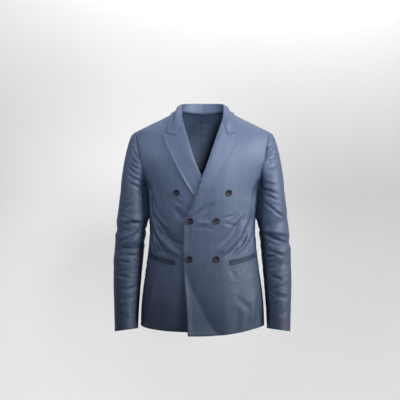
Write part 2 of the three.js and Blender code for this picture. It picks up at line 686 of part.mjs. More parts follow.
// Points round the roll where collar and lapel meet
function gorgeRoll(side, shift) {
  const { rollX, rollZ } = gorge(side, NOTCH[side], 0);
  const tip = lapelTip(side);
  const away = awayFrom(side, rollX, rollZ, tip.x, tip.z);
  const edge = frontViewPoint(side, rollX, rollZ);
  const along = edge.normal.clone().cross(away).normalize();
  edge.point.addScaledVector(along, along.z > 0 ? shift : -shift);
  return rollPoints(edge, away, ROLL_RADIUS);
}

// Gives the first columns of a grid normals of their own
function setNormals(grid, rolls) {
  grid.forEach((row, r) => rolls[r].forEach(({ normal }, c) => {
    if (c < 4) row[c].normal = normal;
  }));
  return grid;
}

function lapelGrid(side) {
  const chestRows = frontRows(side).slice(STRIPS.skirt + STRIPS.waist);
  const foot = hemHeight(side, frontAngle(frontEdge(side, HEM_Z), HEM_Z));
  const lowEdge = chestRows.map((way) => {
    const z = lerp(foot, CHEST_Z, way);
    return { x: frontEdge(side, z), z };
  });
  const highEdge = UPPER_T.slice(1, STRIPS.lapelRise + 1).map((t) => {
    const x = risingEdge(side, t);
    return { x, z: shoulderPoint(x, t).z };
  });
  const roll = [...lowEdge, ...highEdge];
  const tip = lapelTip(side);
  const top = gorge(side, tip, 0);
  const across = [
    ...[0.16, 0.34, 0.55, 0.78, 1].map((share) => share * top.bend),
    ...steps(top.bend, 1, 3),
  ];
  const rolls = [];
  const points = roll.map(({ x, z }, index) => {
    const way = index / (roll.length - 1);
    const outerX = tableValue(LAPEL_EDGE, 'way', way, `${side}X`);
    const outerZ = tableValue(LAPEL_EDGE, 'way', way, `${side}Z`);
    const radius = lerp(BREAK_RADIUS, ROLL_RADIUS, smoothstep(way, 0, 0.3));
    const puff = LAPEL_PUFF * (side === 'left' ? 1 : smoothstep(z, LIFT.fullZ, CHEST_Z));
    rolls.push(way === 1
      ? gorgeRoll(side, -SEAM)
      : rollPoints(frontViewPoint(side, x, z), awayFrom(side, x, z, outerX, outerZ), radius));
    const flat = across.map((share) => {
      const bent = top.at(share);
      const pull = way ** 16;
      const placeX = lerp(x, outerX, share) + (bent.x - lerp(top.rollX, tip.x, share)) * pull;
      const seam = way === 1 ? SEAM : 0;
      const placeZ = lerp(z, outerZ, share) + (bent.z - lerp(top.rollZ, tip.z, share)) * pull - seam;
      const distance = Math.hypot(placeX - x, placeZ - z);
      return frontViewPoint(side, placeX, placeZ, laidHeight(distance, radius, puff)).point;
    });
    return [...rolls.at(-1).map(({ point }) => point), ...flat];
  });
  return setNormals(withNormals(points), rolls);
}

// Collar

// Signed distance over the form above the notches, and the direction out
function overForm(point) {
  const level = (p) => {
    const back = p.y > 0;
    const top = ridge(p.x, back);
    const rise = Math.max(p.z - CHEST_Z, 0) / (top.z - CHEST_Z);
    const deep = Math.abs((p.y - top.y) / (chestDepth(p.x, back) - top.y));
    const power = arcPower(p.x);
    return (rise ** power + deep ** power) ** (1 / power) - 1;
  };
  const step = 0.2;
  const slope = (axis) => {
    const ahead = point.clone().addScaledVector(axis, step);
    const behind = point.clone().addScaledVector(axis, -step);
    return (level(ahead) - level(behind)) / (2 * step);
  };
  const gradient = new Vector3(
    slope(new Vector3(1, 0, 0)),
    slope(new Vector3(0, 1, 0)),
    slope(new Vector3(0, 0, 1)),
  );
  const steep = gradient.length();
  return { distance: level(point) / steep, out: gradient.divideScalar(steep) };
}

// Neck edge of the body at a station of the collar, with its normal and the direction away from the neck
function neckEdge(side, way) {
  const place = (station) => {
    if (station <= 0.5) {
      const x = NECK_X * Math.sin(Math.PI * Math.max(station, 0));
      const t = 1 - NAPE_SCOOP * (1 - (x / NECK_X) ** 2);
      return shoulderPoint(lerp(x * (NOTCH_BACK_X / SHOULDER_X), x, t), t, true);
    }
    const t = lerp(1, GORGE_T, (station - 0.5) * 2);
    return shoulderPoint(risingEdge(side, t), t);
  };
  const point = place(way);
  const ahead = place(Math.min(way + 0.02, 1));
  const behind = way < 0.02 ? ahead.clone().setX(-ahead.x) : place(way - 0.02);
  const tangent = ahead.sub(behind).normalize();
  const downBack = shoulderPoint(point.x, 0.78, true).sub(shoulderPoint(point.x, 0.8, true)).normalize();
  const downSide = new Vector3(SHOULDER_X - NECK_X, 0, -SHOULDER_DROP).normalize();
  const t = lerp(1, GORGE_T, clamp((way - 0.5) * 2, 0, 1));
  const downFront = shoulderPoint(point.x + 1, t).sub(shoulderPoint(point.x, t)).normalize();
  const inSurface = way <= 0.5 ? downBack.lerp(downSide, smoothstep(way, 0, 0.5)) : downFront;
  const normal = tangent.clone().cross(inSurface).normalize();
  const away = normal.clone().cross(tangent).normalize();
  return { point, normal, away, tangent };
}

// Profile of the collar at a station: up the stand on the neck side, over the roll, and down the fall
function collarStation(side, way) {
  const neck = neckEdge(side, way);
  const value = (column) => tableValue(COLLAR, 'way', way, column);
  const foot = neck.point.clone().addScaledVector(neck.away, -SEAM).addScaledVector(neck.normal, -CLOTH);
  const endRoll = gorgeRoll(side, 0);
  const end = COLLAR.at(-1);
  const miss = endRoll[4].point.clone().sub(new Vector3(end.crestX, end.crestY, end.crestZ));
  const crest = new Vector3(value('crestX'), value('crestY'), value('crestZ'));
  crest.addScaledVector(miss, smoothstep(way, 0.75, 1));
  const upright = new Vector3(0, 0, 1);
  const turned = smoothstep(way, 0.55, 1);
  const up = upright.clone().lerp(neck.normal, turned).normalize();
  const outward = upright.cross(neck.tangent).normalize().lerp(neck.away, turned).normalize();
  const centre = crest.clone().addScaledVector(up, -ROLL_RADIUS);
  const round = (across, high) => centre.clone()
    .addScaledVector(outward, across * ROLL_RADIUS).addScaledVector(up, high * ROLL_RADIUS);
  const standTop = round(-1, 0);
  const stand = foot.clone().lerp(standTop, 0.5)
    .addScaledVector(outward, -STAND_HOLLOW * ROLL_RADIUS)
    .addScaledVector(up, -STAND_HOLLOW * ROLL_RADIUS);
  const rolled = [foot, stand, standTop, round(-Math.SQRT1_2, Math.SQRT1_2), crest];
  if (way === 1) rolled.splice(0, 5, ...endRoll.map(({ point }) => point));

  const reach = side === 'right' ? COLLAR_RIGHT_REACH * smoothstep(way, 0.5, 1) : 0;
  const edge = new Vector3(value('fallX') + reach, value('fallY'), value('fallZ'));
  const corner = COLLAR_CORNER[side];
  const seam = gorge(side, corner, 0);
  const toBend = [0.14, 0.36, 0.66, 1].map((share) => share * seam.bend);
  const shares = [...toBend, lerp(seam.bend, 1, 0.5), 1];
  const bowed = (share) => crest.clone().lerp(edge, share)
    .addScaledVector(outward, 0.6 * COLLAR_BULGE * 4 * share * (1 - share))
    .addScaledVector(up, 0.8 * COLLAR_BULGE * 4 * share * (1 - share));
  const fall = shares.map((share) => {
    const end = seam.at(share);
    const distance = Math.hypot(end.x - seam.rollX, end.z - seam.rollZ);
    const final = frontViewPoint(side, end.x, end.z, laidHeight(distance, ROLL_RADIUS, LAPEL_PUFF)).point;
    if (way === 1) return final;
    const point = bowed(share);
    const endCorner = frontViewPoint(side, corner.x, corner.z, CLOTH + LAID).point;
    const lastLine = endRoll[4].point.clone().lerp(endCorner, share);
    point.addScaledVector(final.clone().sub(lastLine), way ** 12);
    const settle = smoothstep(share, 0.35, 1);
    for (let pass = 0; pass < 4; pass += 1) {
      const { distance: over, out } = overForm(point);
      const rest = CLOTH + LAID + COLLAR_EASE * 4 * way * (1 - way);
      const target = Math.max(lerp(over, rest, settle), rest);
      point.addScaledVector(out, target - over);
    }
    return point;
  });
  return { points: [...rolled, ...fall], footNormal: neck.normal.clone().negate() };
}

function collarGrid() {
  const back = Array.from({ length: STRIPS.backNeck + 1 }, (_, index) => 0.5 * (index / STRIPS.backNeck));
  const ways = [...back, ...steps(0.5, 1, STRIPS.neckRise)];
  const left = ways.map((way) => collarStation('left', way));
  const right = ways.slice(1).reverse().map((way) => {
    const station = collarStation('right', way);
    for (const vector of [...station.points, station.footNormal]) vector.x *= -1;
    return station;
  });
  const stations = [...right, ...left];
  const profile = stations[0].points.map((_, index) => stations.map((station) => station.points[index]));
  const grid = withNormals(profile);
  grid[0].forEach((place, index) => {
    place.normal = stations[index].footNormal;
  });
  return grid;
}

// Sleeves

// Depth of the elbow folds round a sleeve
function elbowFold(side, turn, z) {
  let height = 0;
  for (const fold of SLEEVE_FOLDS) {
    if (fold.side !== side && fold.side !== 'both') continue;
    const off = euclideanModulo(turn - fold.turn + 180, 360) - 180;
    const girth = degToRad(off) * ARM_RADIUS;
    const beside = (z - fold.z - fold.tilt * girth) / fold.width;
    height += fold.depth * Math.exp(-((girth / fold.reach) ** 4)) * Math.exp(-(beside ** 2));
  }
  return height;
}

// Keeps a sleeve's point clear of the side of the body
function clearOfBody(point) {
  if (point.z > PIT_Z) return point;
  const outline = bodyOutline(point.z);
  const depth = point.y < 0 ? outline.front : outline.back;
  const share = 1 - Math.min(Math.abs(point.y) / depth, 1) ** outline.power;
  const side = outline.half * share ** (1 / outline.power);
  const clear = lerp(SLEEVE_CLEAR, SEAM, smoothstep(point.z, -255, PIT_Z));
  point.x = Math.max(point.x, side + clear);
  return point;
}

function sleeveGrid(side) {
  const loop = armholeLoop();
  const ring = loop.points.map((point) => point.clone().setX(point.x + SEAM));
  const count = ring.length;
  const gaps = ring.map((point, index) => point.distanceTo(ring[(index + 1) % count]));
  const sum = (list) => list.reduce((total, value) => total + value, 0);
  const frontLength = sum(gaps.slice(0, loop.pitIndex));
  const backLength = sum(gaps.slice(loop.pitIndex));
  const turns = ring.map((_, index) => (index <= loop.pitIndex
    ? 180 * (sum(gaps.slice(0, index)) / frontLength)
    : 180 + 180 * (sum(gaps.slice(loop.pitIndex, index)) / backLength)));
  const centre = ring.reduce((total, point) => total.add(point), new Vector3()).divideScalar(count);

  const tube = (turn, z) => {
    const value = (column) => tableValue(SLEEVE, 'z', z, column);
    const angle = degToRad(turn);
    const fold = elbowFold(side, turn, z);
    const x = value('midX') + (value('halfX') + fold) * Math.cos(angle);
    const y = value('midY') - (value('halfY') + fold) * Math.sin(angle);
    return clearOfBody(new Vector3(x, y, z));
  };
  const radial = (point) => new Vector3(0, point.y - centre.y, point.z - centre.z).normalize();
  const capPoint = (start, turn, way) => {
    const end = tube(turn, SLEEVE_TOP_Z);
    const span = start.distanceTo(end);
    const out = radial(start);
    const drop = CAP.drop + CAP.crownDrop * Math.max(out.z, 0);
    const leave = new Vector3(1, CAP.spread * out.y, -drop).normalize();
    const point = start.clone().multiplyScalar(1 - 3 * way ** 2 + 2 * way ** 3);
    point.addScaledVector(leave, CAP.start * span * (way - 2 * way ** 2 + way ** 3));
    point.addScaledVector(end, 3 * way ** 2 - 2 * way ** 3);
    point.z -= CAP.foot * span * (way ** 3 - way ** 2);
    return clearOfBody(point);
  };
  const cap = [0, ...steps(0, 1, STRIPS.cap)].map((way) => (
    ring.map((start, index) => (way === 0 ? start : capPoint(start, turns[index], way)))
  ));
  const share = (z) => (z - SLEEVE_TOP_Z) / (CUFF_Z - SLEEVE_TOP_Z);
  const ways = [
    ...steps(0, share(ELBOW_TOP_Z), STRIPS.upperArm),
    ...steps(share(ELBOW_TOP_Z), share(ELBOW_FOOT_Z), STRIPS.elbow),
    ...steps(share(ELBOW_FOOT_Z), 1, STRIPS.forearm),
  ];
  const lower = ways.map((way) => turns.map((turn) => {
    const angle = degToRad(turn);
    const cuff = CUFF_Z - CUFF_DROP * Math.cos(angle) + CUFF_TILT * SLEEVE.at(-1).halfY * Math.sin(angle);
    return tube(turn, lerp(SLEEVE_TOP_Z, cuff, way));
  }));
  const grid = withNormals([...cap, ...lower], true);
  grid[0].forEach((place, index) => {
    place.normal = radial(ring[index]);
  });
  return { grid, loop };
}

// Part of a closed grid between two of its columns, half a seam short at each
function sleevePart(grid, from, to) {
  return grid.map((row) => {
    const part = [];
    for (let index = from; index <= to; index += 1) part.push(row[index % row.length]);
    const inward = (place, next) => {
      const direction = next.point.clone().sub(place.point).normalize();
      return { point: place.point.clone().addScaledVector(direction, SEAM / 2), normal: place.normal };
    };
    part[0] = inward(part[0], part[1]);
    part[part.length - 1] = inward(part.at(-1), part.at(-2));
    return part;
  });
}

// Pocket jets, each a strip that lies on the front

function jetGrid(side, upper) {
  const start = frontAngle(POCKET.startX, POCKET.startZ);
  const offset = (POCKET.slit / 2) * (upper ? 1 : -1);
  const edges = upper ? [offset, offset + POCKET.jet] : [offset - POCKET.jet, offset];
  return edges.map((edge) => [0, ...steps(0, POCKET.length, STRIPS.jet)].map((girth) => {
    const angle = start + girth / GIRTH_RADIUS;
    const z = POCKET.startZ + POCKET.rise * girth + edge;
    return frontPanelPoint(side, angle, z, SEAM + POCKET.cloth);
  }));
}

// Buttons

// Manifold solid of a three.js geometry
function toSolid(geometry) {
  geometry.deleteAttribute('normal');
  geometry.deleteAttribute('uv');
  const merged = mergeVertices(geometry, 1e-4);
  return new wasm.Manifold(new wasm.Mesh({
    numProp: 3,
    vertProperties: merged.attributes.position.array,
    triVerts: Uint32Array.from(merged.index.array),
  }));
}

function fromSolid(solid) {
  const mesh = solid.getMesh();
  const geometry = new THREE.BufferGeometry();
  geometry.setAttribute('position', new THREE.BufferAttribute(mesh.vertProperties, 3));
  geometry.setIndex(new THREE.BufferAttribute(mesh.triVerts, 1));
  return geometry;
}

// Four-hole button with a raised rim, its face towards +Y of the lathe
function buttonGeometry() {
  const { radius, height, rim, dish, hole, pitch } = BUTTON;
  const profile = [
    [0, 0], [radius - 1, 0], [radius, 1], [radius, height - 0.9], [radius - 0.9, height],
    [radius - rim, height], [radius - rim - 1, height - dish], [0, height - dish],
  ];
  const disc = new THREE.LatheGeometry(profile.map(([x, y]) => new THREE.Vector2(x, y)), 16);
  let solid = toSolid(disc);
  for (const [x, z] of [[-1, -1], [1, -1], [1, 1], [-1, 1]]) {
    const drill = new THREE.CylinderGeometry(hole, hole, 3 * height, 5);
    drill.translate((x * pitch) / 2, 0, (z * pitch) / 2);
    solid = solid.subtract(toSolid(drill));
  }
  return fromSolid(solid);
}

// Assembly

const blazer = new THREE.Group();

function addPiece(name, geometry, material = SLATE) {
  const mesh = new THREE.Mesh(geometry, material);
  mesh.name = name;
  blazer.add(mesh);
  return mesh;
}

for (const side of ['left', 'right']) {
  const mirrored = side === 'right';
  addPiece(`front_${side}`, clothWall(frontGrids(side), CLOTH, mirrored));
  addPiece(`back_${side}`, clothWall(backGrids(side), CLOTH, mirrored));
  addPiece(`lapel_${side}`, clothWall([lapelGrid(side)], CLOTH, mirrored));
  const { grid, loop } = sleeveGrid(side);
  const count = loop.points.length;
  const top = sleevePart(grid, loop.backSeam, loop.frontSeam + count);
  const under = sleevePart(grid, loop.frontSeam, loop.backSeam);
  addPiece(`topsleeve_${side}`, clothWall([top], CLOTH, mirrored));
  addPiece(`undersleeve_${side}`, clothWall([under], CLOTH, mirrored));
  addPiece(`pocket_jet_upper_${side}`, clothWall([jetGrid(side, true)], POCKET.cloth, mirrored));
  addPiece(`pocket_jet_lower_${side}`, clothWall([jetGrid(side, false)], POCKET.cloth, mirrored));
}
addPiece('collar', clothWall([collarGrid()], CLOTH));

for (const { name, side, x, z } of BUTTONS) {
  const seat = frontViewPoint(side, x, z, BUTTON.seat);
  const mirror = side === 'right' ? -1 : 1;
  const mesh = addPiece(name, buttonGeometry(), HORN);
  const normal = seat.normal.clone().setX(seat.normal.x * mirror);
  mesh.position.set(seat.point.x * mirror, seat.point.y, seat.point.z);
  mesh.quaternion.setFromUnitVectors(new Vector3(0, 1, 0), normal);
}

export default blazer;
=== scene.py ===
"""Double breasted blazer with peak lapels, in slate blue cotton sateen with dark buttons.

Sizes are millimetres until a mesh is made. The front faces -Y, +Z is up and +X is the wearer's left.
Every piece is worked out as if on the wearer's left, and mirrored where it belongs to the right.
A piece of cloth is a grid of points on its outer face with their normals, and is made a thin wall.
"""

import math

import bmesh
import bpy
import numpy as np
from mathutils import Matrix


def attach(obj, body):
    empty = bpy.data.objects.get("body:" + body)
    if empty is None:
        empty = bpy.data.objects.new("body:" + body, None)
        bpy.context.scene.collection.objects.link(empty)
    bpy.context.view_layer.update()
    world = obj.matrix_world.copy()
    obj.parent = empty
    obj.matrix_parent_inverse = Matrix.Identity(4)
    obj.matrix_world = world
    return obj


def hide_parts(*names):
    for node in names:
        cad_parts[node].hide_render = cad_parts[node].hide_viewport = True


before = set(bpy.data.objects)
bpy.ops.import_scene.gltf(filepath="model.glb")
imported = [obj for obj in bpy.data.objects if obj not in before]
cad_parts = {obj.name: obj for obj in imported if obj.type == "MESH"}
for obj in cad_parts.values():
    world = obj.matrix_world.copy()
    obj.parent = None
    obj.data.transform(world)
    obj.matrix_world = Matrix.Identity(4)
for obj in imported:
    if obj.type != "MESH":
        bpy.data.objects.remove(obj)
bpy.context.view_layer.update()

MM = 0.001


def table(names, *rows):
    """A short table as named columns, the first of them ascending where it is read along."""
    return dict(zip(names.split(), np.array(rows, float).T))


# Cloth and seams
CLOTH = 1.8
SEAM = 0.4
LAID = 0.9

# Cut of the body
CHEST_Z = -150
PIT_Z = -228
BREAK_Z = -322
WAIST_Z = -480
HEM_Z = -676
HEM_DROP = {"left": 22, "right": 11}
HEM_POWER = {"left": 3, "right": 1.5}
SIDE_ANGLE = math.radians(94)
GIRTH_RADIUS = 170

# Shoulders and neck
NECK_X = 78
NECK_Z = 16
SHOULDER_X = 225
SHOULDER_DROP = 73
CHEST_POWER = 1.7
ARM_POWER = 2.6
ARC_X = 110
GORGE_SLOPE = 0.45
NAPE_Y = 40
NAPE_RISE = 6
NAPE_SCOOP = 0.2
NOTCH_FRONT_X = 198
NOTCH_BACK_X = 203
GORGE_T = 0.54

# The left front is carried over the right front
LIFT = {
    "roll": 6.8, "skirt": 4.4, "skirtZ": -420, "rollZ": -345,
    "fullX": 62, "goneX": 120, "fullZ": -182, "goneZ": -110,
}

BODY = table(
    "z half front back power",
    (-705, 201, 120, 122, 2.35),
    (-611, 198, 119, 124, 2.35),
    (-546, 190.5, 114, 119, 2.35),
    (-497, 183, 110, 111, 2.35),
    (-452, 177.5, 107, 103, 2.35),
    (-403, 172.5, 106, 97, 2.35),
    (-370, 171, 106, 96, 2.35),
    (-330, 172.5, 108, 99, 2.35),
    (-285, 176, 112, 106, 2.35),
    (-240, 181, 116, 114, 2.3),
    (-200, 203, 118, 118, 2.15),
    (-175, 220, 118, 120, 2.05),
    (-150, 238, 118, 120, 1.95),
)
FRONT_EDGE = table(
    "z left right",
    (-705, -44, -44),
    (-675, -45, -45),
    (-592, -50, -50),
    (-508, -57.5, -57.5),
    (-428, -59.5, -59.5),
    (-379, -58, -58),
    (-345, -54.5, -54.5),
    (-300, -35, -34),
    (-258, -19, -17),
    (-196, 2, 7),
    (-157, 17, 23.5),
    (-117, 31, 37),
    (-70, 47, 51),
    (-48, 55, 58),
    (-25, 63, 64),
    (16, 78, 78),
)
LAPEL_EDGE = table(
    "way leftX leftZ rightX rightZ",
    (0, -40, -321, -39, -321),
    (0.09, -24, -311, -22, -309),
    (0.2, -1, -289, 4, -287),
    (0.35, 27.5, -245, 39, -243),
    (0.5, 54, -198, 63, -204),
    (0.65, 77, -158, 87, -157),
    (0.8, 98, -121, 106, -117),
    (0.9, 114.5, -97, 115.5, -97),
    (1, 118.5, -61, 124.7, -65),
)
NOTCH = {"left": (80, -68), "right": (86, -70)}
COLLAR_CORNER = {"left": (104, -57), "right": (113, -60)}
COLLAR = table(
    "way crestX crestY crestZ fallX fallY fallZ",
    (0, 0, 66, 46, 0, 80, 1),
    (0.17, 33, 59, 45.5, 40, 76, 1.5),
    (0.34, 57, 37, 43, 74, 48, 5),
    (0.5, 69, 6, 38, 97, 3, 9),
    (0.65, 69.5, -24, 24, 102, -38, -4),
    (0.8, 68.5, -50, 4, 105, -62, -26),
    (0.9, 66.5, -64, -10, 106, -74, -42),
    (1, 62, -76, -25, 104, -85, -57),
)
COLLAR_RIGHT_REACH = 9
COLLAR_EASE = 2.2
COLLAR_BULGE = 4
STAND_HOLLOW = 0.2
ROLL_RADIUS = 2.6
BREAK_RADIUS = 2.1
ROLL_FADE = 16
LAPEL_PUFF = 1.5
LAPEL_STAND_OFF = {"left": 0.8, "right": 2.2}
PUFF_REACH = 12

SLEEVE = table(
    "z midX midY halfX halfY",
    (-690, 245, -30, 37.5, 48),
    (-615, 245, -18, 40.5, 52),
    (-540, 244, -6, 44.5, 56),
    (-460, 240, 4, 47.5, 61),
    (-400, 235, 6, 48, 64),
    (-330, 227.5, 5, 49.5, 66.5),
    (-290, 226, 3, 46, 68),
    (-240, 224.5, 2, 41, 70),
)
SLEEVE_TOP_Z = -240
CUFF_Z = -690
CUFF_DROP = 5
CUFF_TILT = 0.125
SLEEVE_CLEAR = 3.2
TOUCH = {"y": 2, "reach": 45, "lowZ": -352, "highZ": -318, "x": 200, "depth": 8}
ARM_RADIUS = 55
CAP = {"spread": 0.25, "drop": 0.35, "crownDrop": 0.65, "start": 0.47, "foot": 0.65}

# Folds: side, from (degrees, z), to (degrees, z), sideways bow, depth and width.
# Degrees run from centre front round the body. The first tables hold the largest folds.
FRONT_FOLDS = (
    ("right", 64, -322, 17, -424, -7, -8.5, 14),
    ("right", 64, -349, 18, -448, -6, 5.5, 14),
    ("right", 67, -372, 37, -446, -4, -7, 12),
    ("right", 27, -300, 15, -338, 0, -4, 12),
    ("right", 52, -540, 62, -670, 3, 3, 15),
    ("left", 38, -342, 16, -416, -4, -4.3, 12),
    ("left", 52, -345, 14, -448, -6, 5, 13),
    ("left", 61, -338, 39, -415, -4, -6.5, 11),
    ("left", 37, -412, 20, -455, 0, -4.5, 12),
    ("left", 9, -284, -1, -334, 2, -1.5, 11),
    ("left", 58, -560, 48, -672, 4, 3, 16),
)
BACK_FOLDS = (
    ("both", 112, -322, 158, -392, 6, -6, 15),
    ("both", 110, -352, 150, -430, 5, 5, 15),
    ("both", 124, -235, 120, -320, 3, -3.5, 13),
    ("left", 150, -520, 156, -660, 4, 3, 17),
    ("right", 128, -510, 121, -665, 4, 3, 17),
)
# Finer creases of the fronts
FRONT_CREASES = (
    ("both", 67, -200, 68, -322, -3, -4.5, 16),
    ("right", 37, -253, 36, -274, 0, -1.4, 3),
    ("right", 60, -412, 51, -440, 0, 2.2, 8),
    ("right", 17, -247, 22, -251, 0, -0.8, 4),
    ("right", 58, -562, 62, -668, 3, -1.6, 9),
    ("right", 38, -596, 40, -682, -3, -1.3, 11),
    ("right", 27, -580, 29, -684, 3, 1.1, 12),
    ("right", 70, -236, 55, -300, 4, -2.0, 8),
    ("right", 62, -300, 40, -356, -3, 1.6, 7),
    ("right", 44, -366, 24, -402, -3, 1.5, 6),
    ("right", 30, -262, 18, -292, 2, -1.1, 6),
    ("right", 72, -390, 60, -436, 0, -1.6, 6),
    ("right", 80, -330, 72, -392, 3, -1.8, 8),
    ("left", 7, -284, 0, -310, 0, -1.3, 6),
    ("left", 66, -383, 60, -420, 0, -1.8, 5),
    ("left", 19, -329, 31, -321, 0, -0.9, 4),
    ("left", 19, -346, 33, -354, 0, -1.0, 4.5),
    ("left", -7, -349, 9, -348, -5, 0.9, 5),
    ("left", -6, -364, 9, -362, -4, -0.9, 6),
    ("left", 50, -356, 31, -426, -3, -2.2, 5.5),
    ("left", 58, -387, 33, -443, -3, 2.4, 6),
    ("left", 52, -640, 58, -655, 0, -1.4, 4),
    ("left", 30, -582, 46, -616, 2, -1.3, 10),
    ("left", 72, -240, 60, -318, -4, -1.8, 8),
    ("left", 44, -316, 30, -352, -2, 1.2, 6),
    ("left", 78, -345, 66, -400, 2, -1.6, 7),
    ("left", 66, -600, 72, -672, 2, -1.5, 9),
    ("left", 38, -610, 33, -684, -2, 1.3, 10),
    ("left", 24, -470, 30, -520, 2, -0.9, 8),
    ("left", 13, -468, 5, -492, 0, -0.8, 6),
)
BACK_CREASES = (
    ("both", 128, -300, 168, -352, 5, -2.0, 7),
    ("both", 120, -388, 160, -452, 4, -1.8, 7),
    ("left", 104, -250, 128, -300, 3, -2.0, 7),
    ("right", 106, -262, 131, -306, 3, -1.7, 6),
    ("left", 140, -120, 120, -190, -4, -1.4, 10),
    ("right", 142, -112, 118, -186, -4, -1.6, 11),
    ("left", 165, -400, 172, -470, 0, 1.5, 8),
    ("right", 160, -412, 170, -462, 0, 1.3, 7),
    ("both", 112, -560, 116, -668, 3, -1.5, 10),
    ("left", 134, -575, 131, -670, -3, -1.4, 11),
    ("right", 150, -560, 154, -668, 3, -1.5, 11),
)
# Folds at the elbows: side, middle (degrees from the sleeve's outer side towards the front, z),
# tilt, reach, depth and width
ELBOW_FOLDS = (
    ("right", 75, -338, 0.1, 62, 3, 13),
    ("right", 25, -366, 0.05, 58, -3, 12),
    ("right", 70, -396, -0.15, 70, 3, 13),
    ("right", 85, -428, 0.12, 66, -3, 12),
    ("right", 60, -470, -0.1, 62, 2.5, 14),
    ("left", 60, -344, -0.25, 66, -3, 12),
    ("left", 80, -374, 0.08, 60, 3, 13),
    ("left", 55, -404, 0.15, 66, -3, 12),
    ("left", 75, -436, -0.1, 70, 3, 13),
    ("left", 65, -478, 0.1, 60, -2.5, 13),
    ("both", 250, -352, 0.2, 60, -3, 14),
    ("both", 265, -420, -0.15, 64, 2.5, 14),
)
# Finer creases of the sleeves, in the same degrees
SLEEVE_CREASES = (
    ("left", 137, -382, 31, -417, -3, -3.2, 6),
    ("left", 131, -368, 39, -382, 0, 1.8, 6),
    ("left", 128, -404, 74, -420, 0, -2.0, 5),
    ("left", 125, -434, 68, -451, 0, -2.0, 5),
    ("left", 138, -458, 90, -451, 0, -1.6, 5),
    ("left", 121, -493, 71, -476, 0, -1.6, 6),
    ("left", 119, -517, 73, -531, 0, -1.6, 6),
    ("left", 119, -545, 50, -531, 0, 1.2, 6),
    ("left", 113, -576, 50, -587, 0, -1.3, 7),
    ("left", 156, -237, 74, -254, 2, -2.4, 5),
    ("left", 129, -282, 49, -331, 2, -2.2, 5),
    ("left", 137, -254, 77, -271, 0, -1.6, 4.5),
    ("left", 78, -118, 38, -92, 0, -1.8, 3.6),
    ("left", 84, -134, 40, -116, 0, -1.9, 3.6),
    ("left", 90, -152, 42, -143, 0, -1.9, 3.6),
    ("left", 82, -126, 44, -106, 0, 1.2, 3.4),
    ("left", 98, -182, 50, -172, 0, -1.6, 4),
    ("left", 60, -100, 34, -78, 0, 0.9, 4),
    ("left", 110, -210, 70, -218, 0, 1.2, 5),
    ("left", 100, -300, 60, -312, 0, 1.4, 6),
    ("left", 96, -640, 52, -628, 0, -0.9, 8),
    ("right", 45, -128, 92, -158, 3, -2.2, 2.8),
    ("right", 40, -142, 98, -174, 3, -2.2, 2.8),
    ("right", 52, -116, 90, -142, 2, -1.8, 2.6),
    ("right", 42, -135, 95, -166, 3, 1.8, 2.6),
    ("right", 40, -160, 108, -196, 2, -1.6, 4),
    ("right", 62, -192, 120, -214, 2, -1.6, 4.5),
    ("right", 78, -222, 132, -236, 0, -1.4, 5),
    ("right", 85, -330, 132, -338, 0, 2.0, 6),
    ("right", 40, -352, 120, -346, 0, -1.8, 5),
    ("right", 60, -406, 128, -375, 3, -2.6, 6),
    ("right", 58, -427, 121, -431, 0, -2.2, 5),
    ("right", 85, -448, 122, -451, 0, -1.5, 4.5),
    ("right", 57, -470, 103, -473, 0, -1.8, 5),
    ("right", 52, -494, 96, -488, 0, 1.3, 5),
    ("right", 57, -517, 95, -518, 0, -1.7, 5),
    ("right", 76, -562, 135, -551, 0, -1.6, 6),
    ("right", 66, -590, 118, -583, 0, -1.2, 6),
    ("right", 100, -285, 62, -300, 0, -1.3, 6),
    ("right", 60, -640, 100, -646, 0, -0.9, 8),
    ("both", 230, -330, 290, -350, 4, -2.0, 7),
    ("both", 236, -386, 300, -392, -4, -2.2, 7),
    ("both", 228, -440, 280, -428, 3, -1.8, 7),
    ("both", 210, -250, 262, -272, 3, -1.6, 7),
    ("both", 320, -380, 350, -400, 0, -1.5, 7),
    ("both", 200, -360, 168, -372, 0, -2.0, 7),
    ("both", 196, -410, 164, -402, 0, -1.8, 7),
    ("both", 240, -560, 285, -548, 0, -1.2, 9),
)

# Line of the sharp fold that frees the lower corner of the left front
FLARE = table(
    "z x",
    (-694, 50), (-666, 24.5), (-642, 12.6), (-603, -7.2), (-560, -28.8), (-520, -46.6), (-487, -58),
)
FLARE_SHAPE = {"slope": 0.2, "sharp": 3, "sink": 3.6, "reach": 20, "fullZ": -505, "goneZ": -472}
EDGE_SPRING = {"height": 2.2, "reach": 16, "fullZ": -345, "goneZ": -320}

# How strongly the cloth is creased: shares of the tables' depths, and heights and wavelengths
FRONT_CLOTH = {
    "folds": 1.2, "creases": 1.4, "ripple": 0.16, "rippleWave": 46,
    "crumple": 0.1, "waistCrumple": 0.6, "crumpleWave": 19, "crumpleSlant": -0.6,
}
BACK_CLOTH = {"ripple": 0.2, "rippleWave": 55}
SLEEVE_CLOTH = {
    "creases": 1.7, "ripple": 0.12, "elbowRipple": 0.15, "rippleWave": 24,
    "crumple": 0.08, "elbowCrumple": 0.85, "crumpleWave": 11, "crumpleSlant": 0.3,
}
CREASE_BANK = 0.3
CRUMPLE_SHARPNESS = 3.5

# Heights between which the cloth is crushed: begin, full, full again and end, all going down
WAIST_BAND = (-250, -330, -500, -600)
ELBOW_BAND = (-230, -330, -480, -640)
CRUSHED_BODY = (-230, -330, -500, -600)
CRUSHED_SLEEVE = (-230, -320, -500, -640)

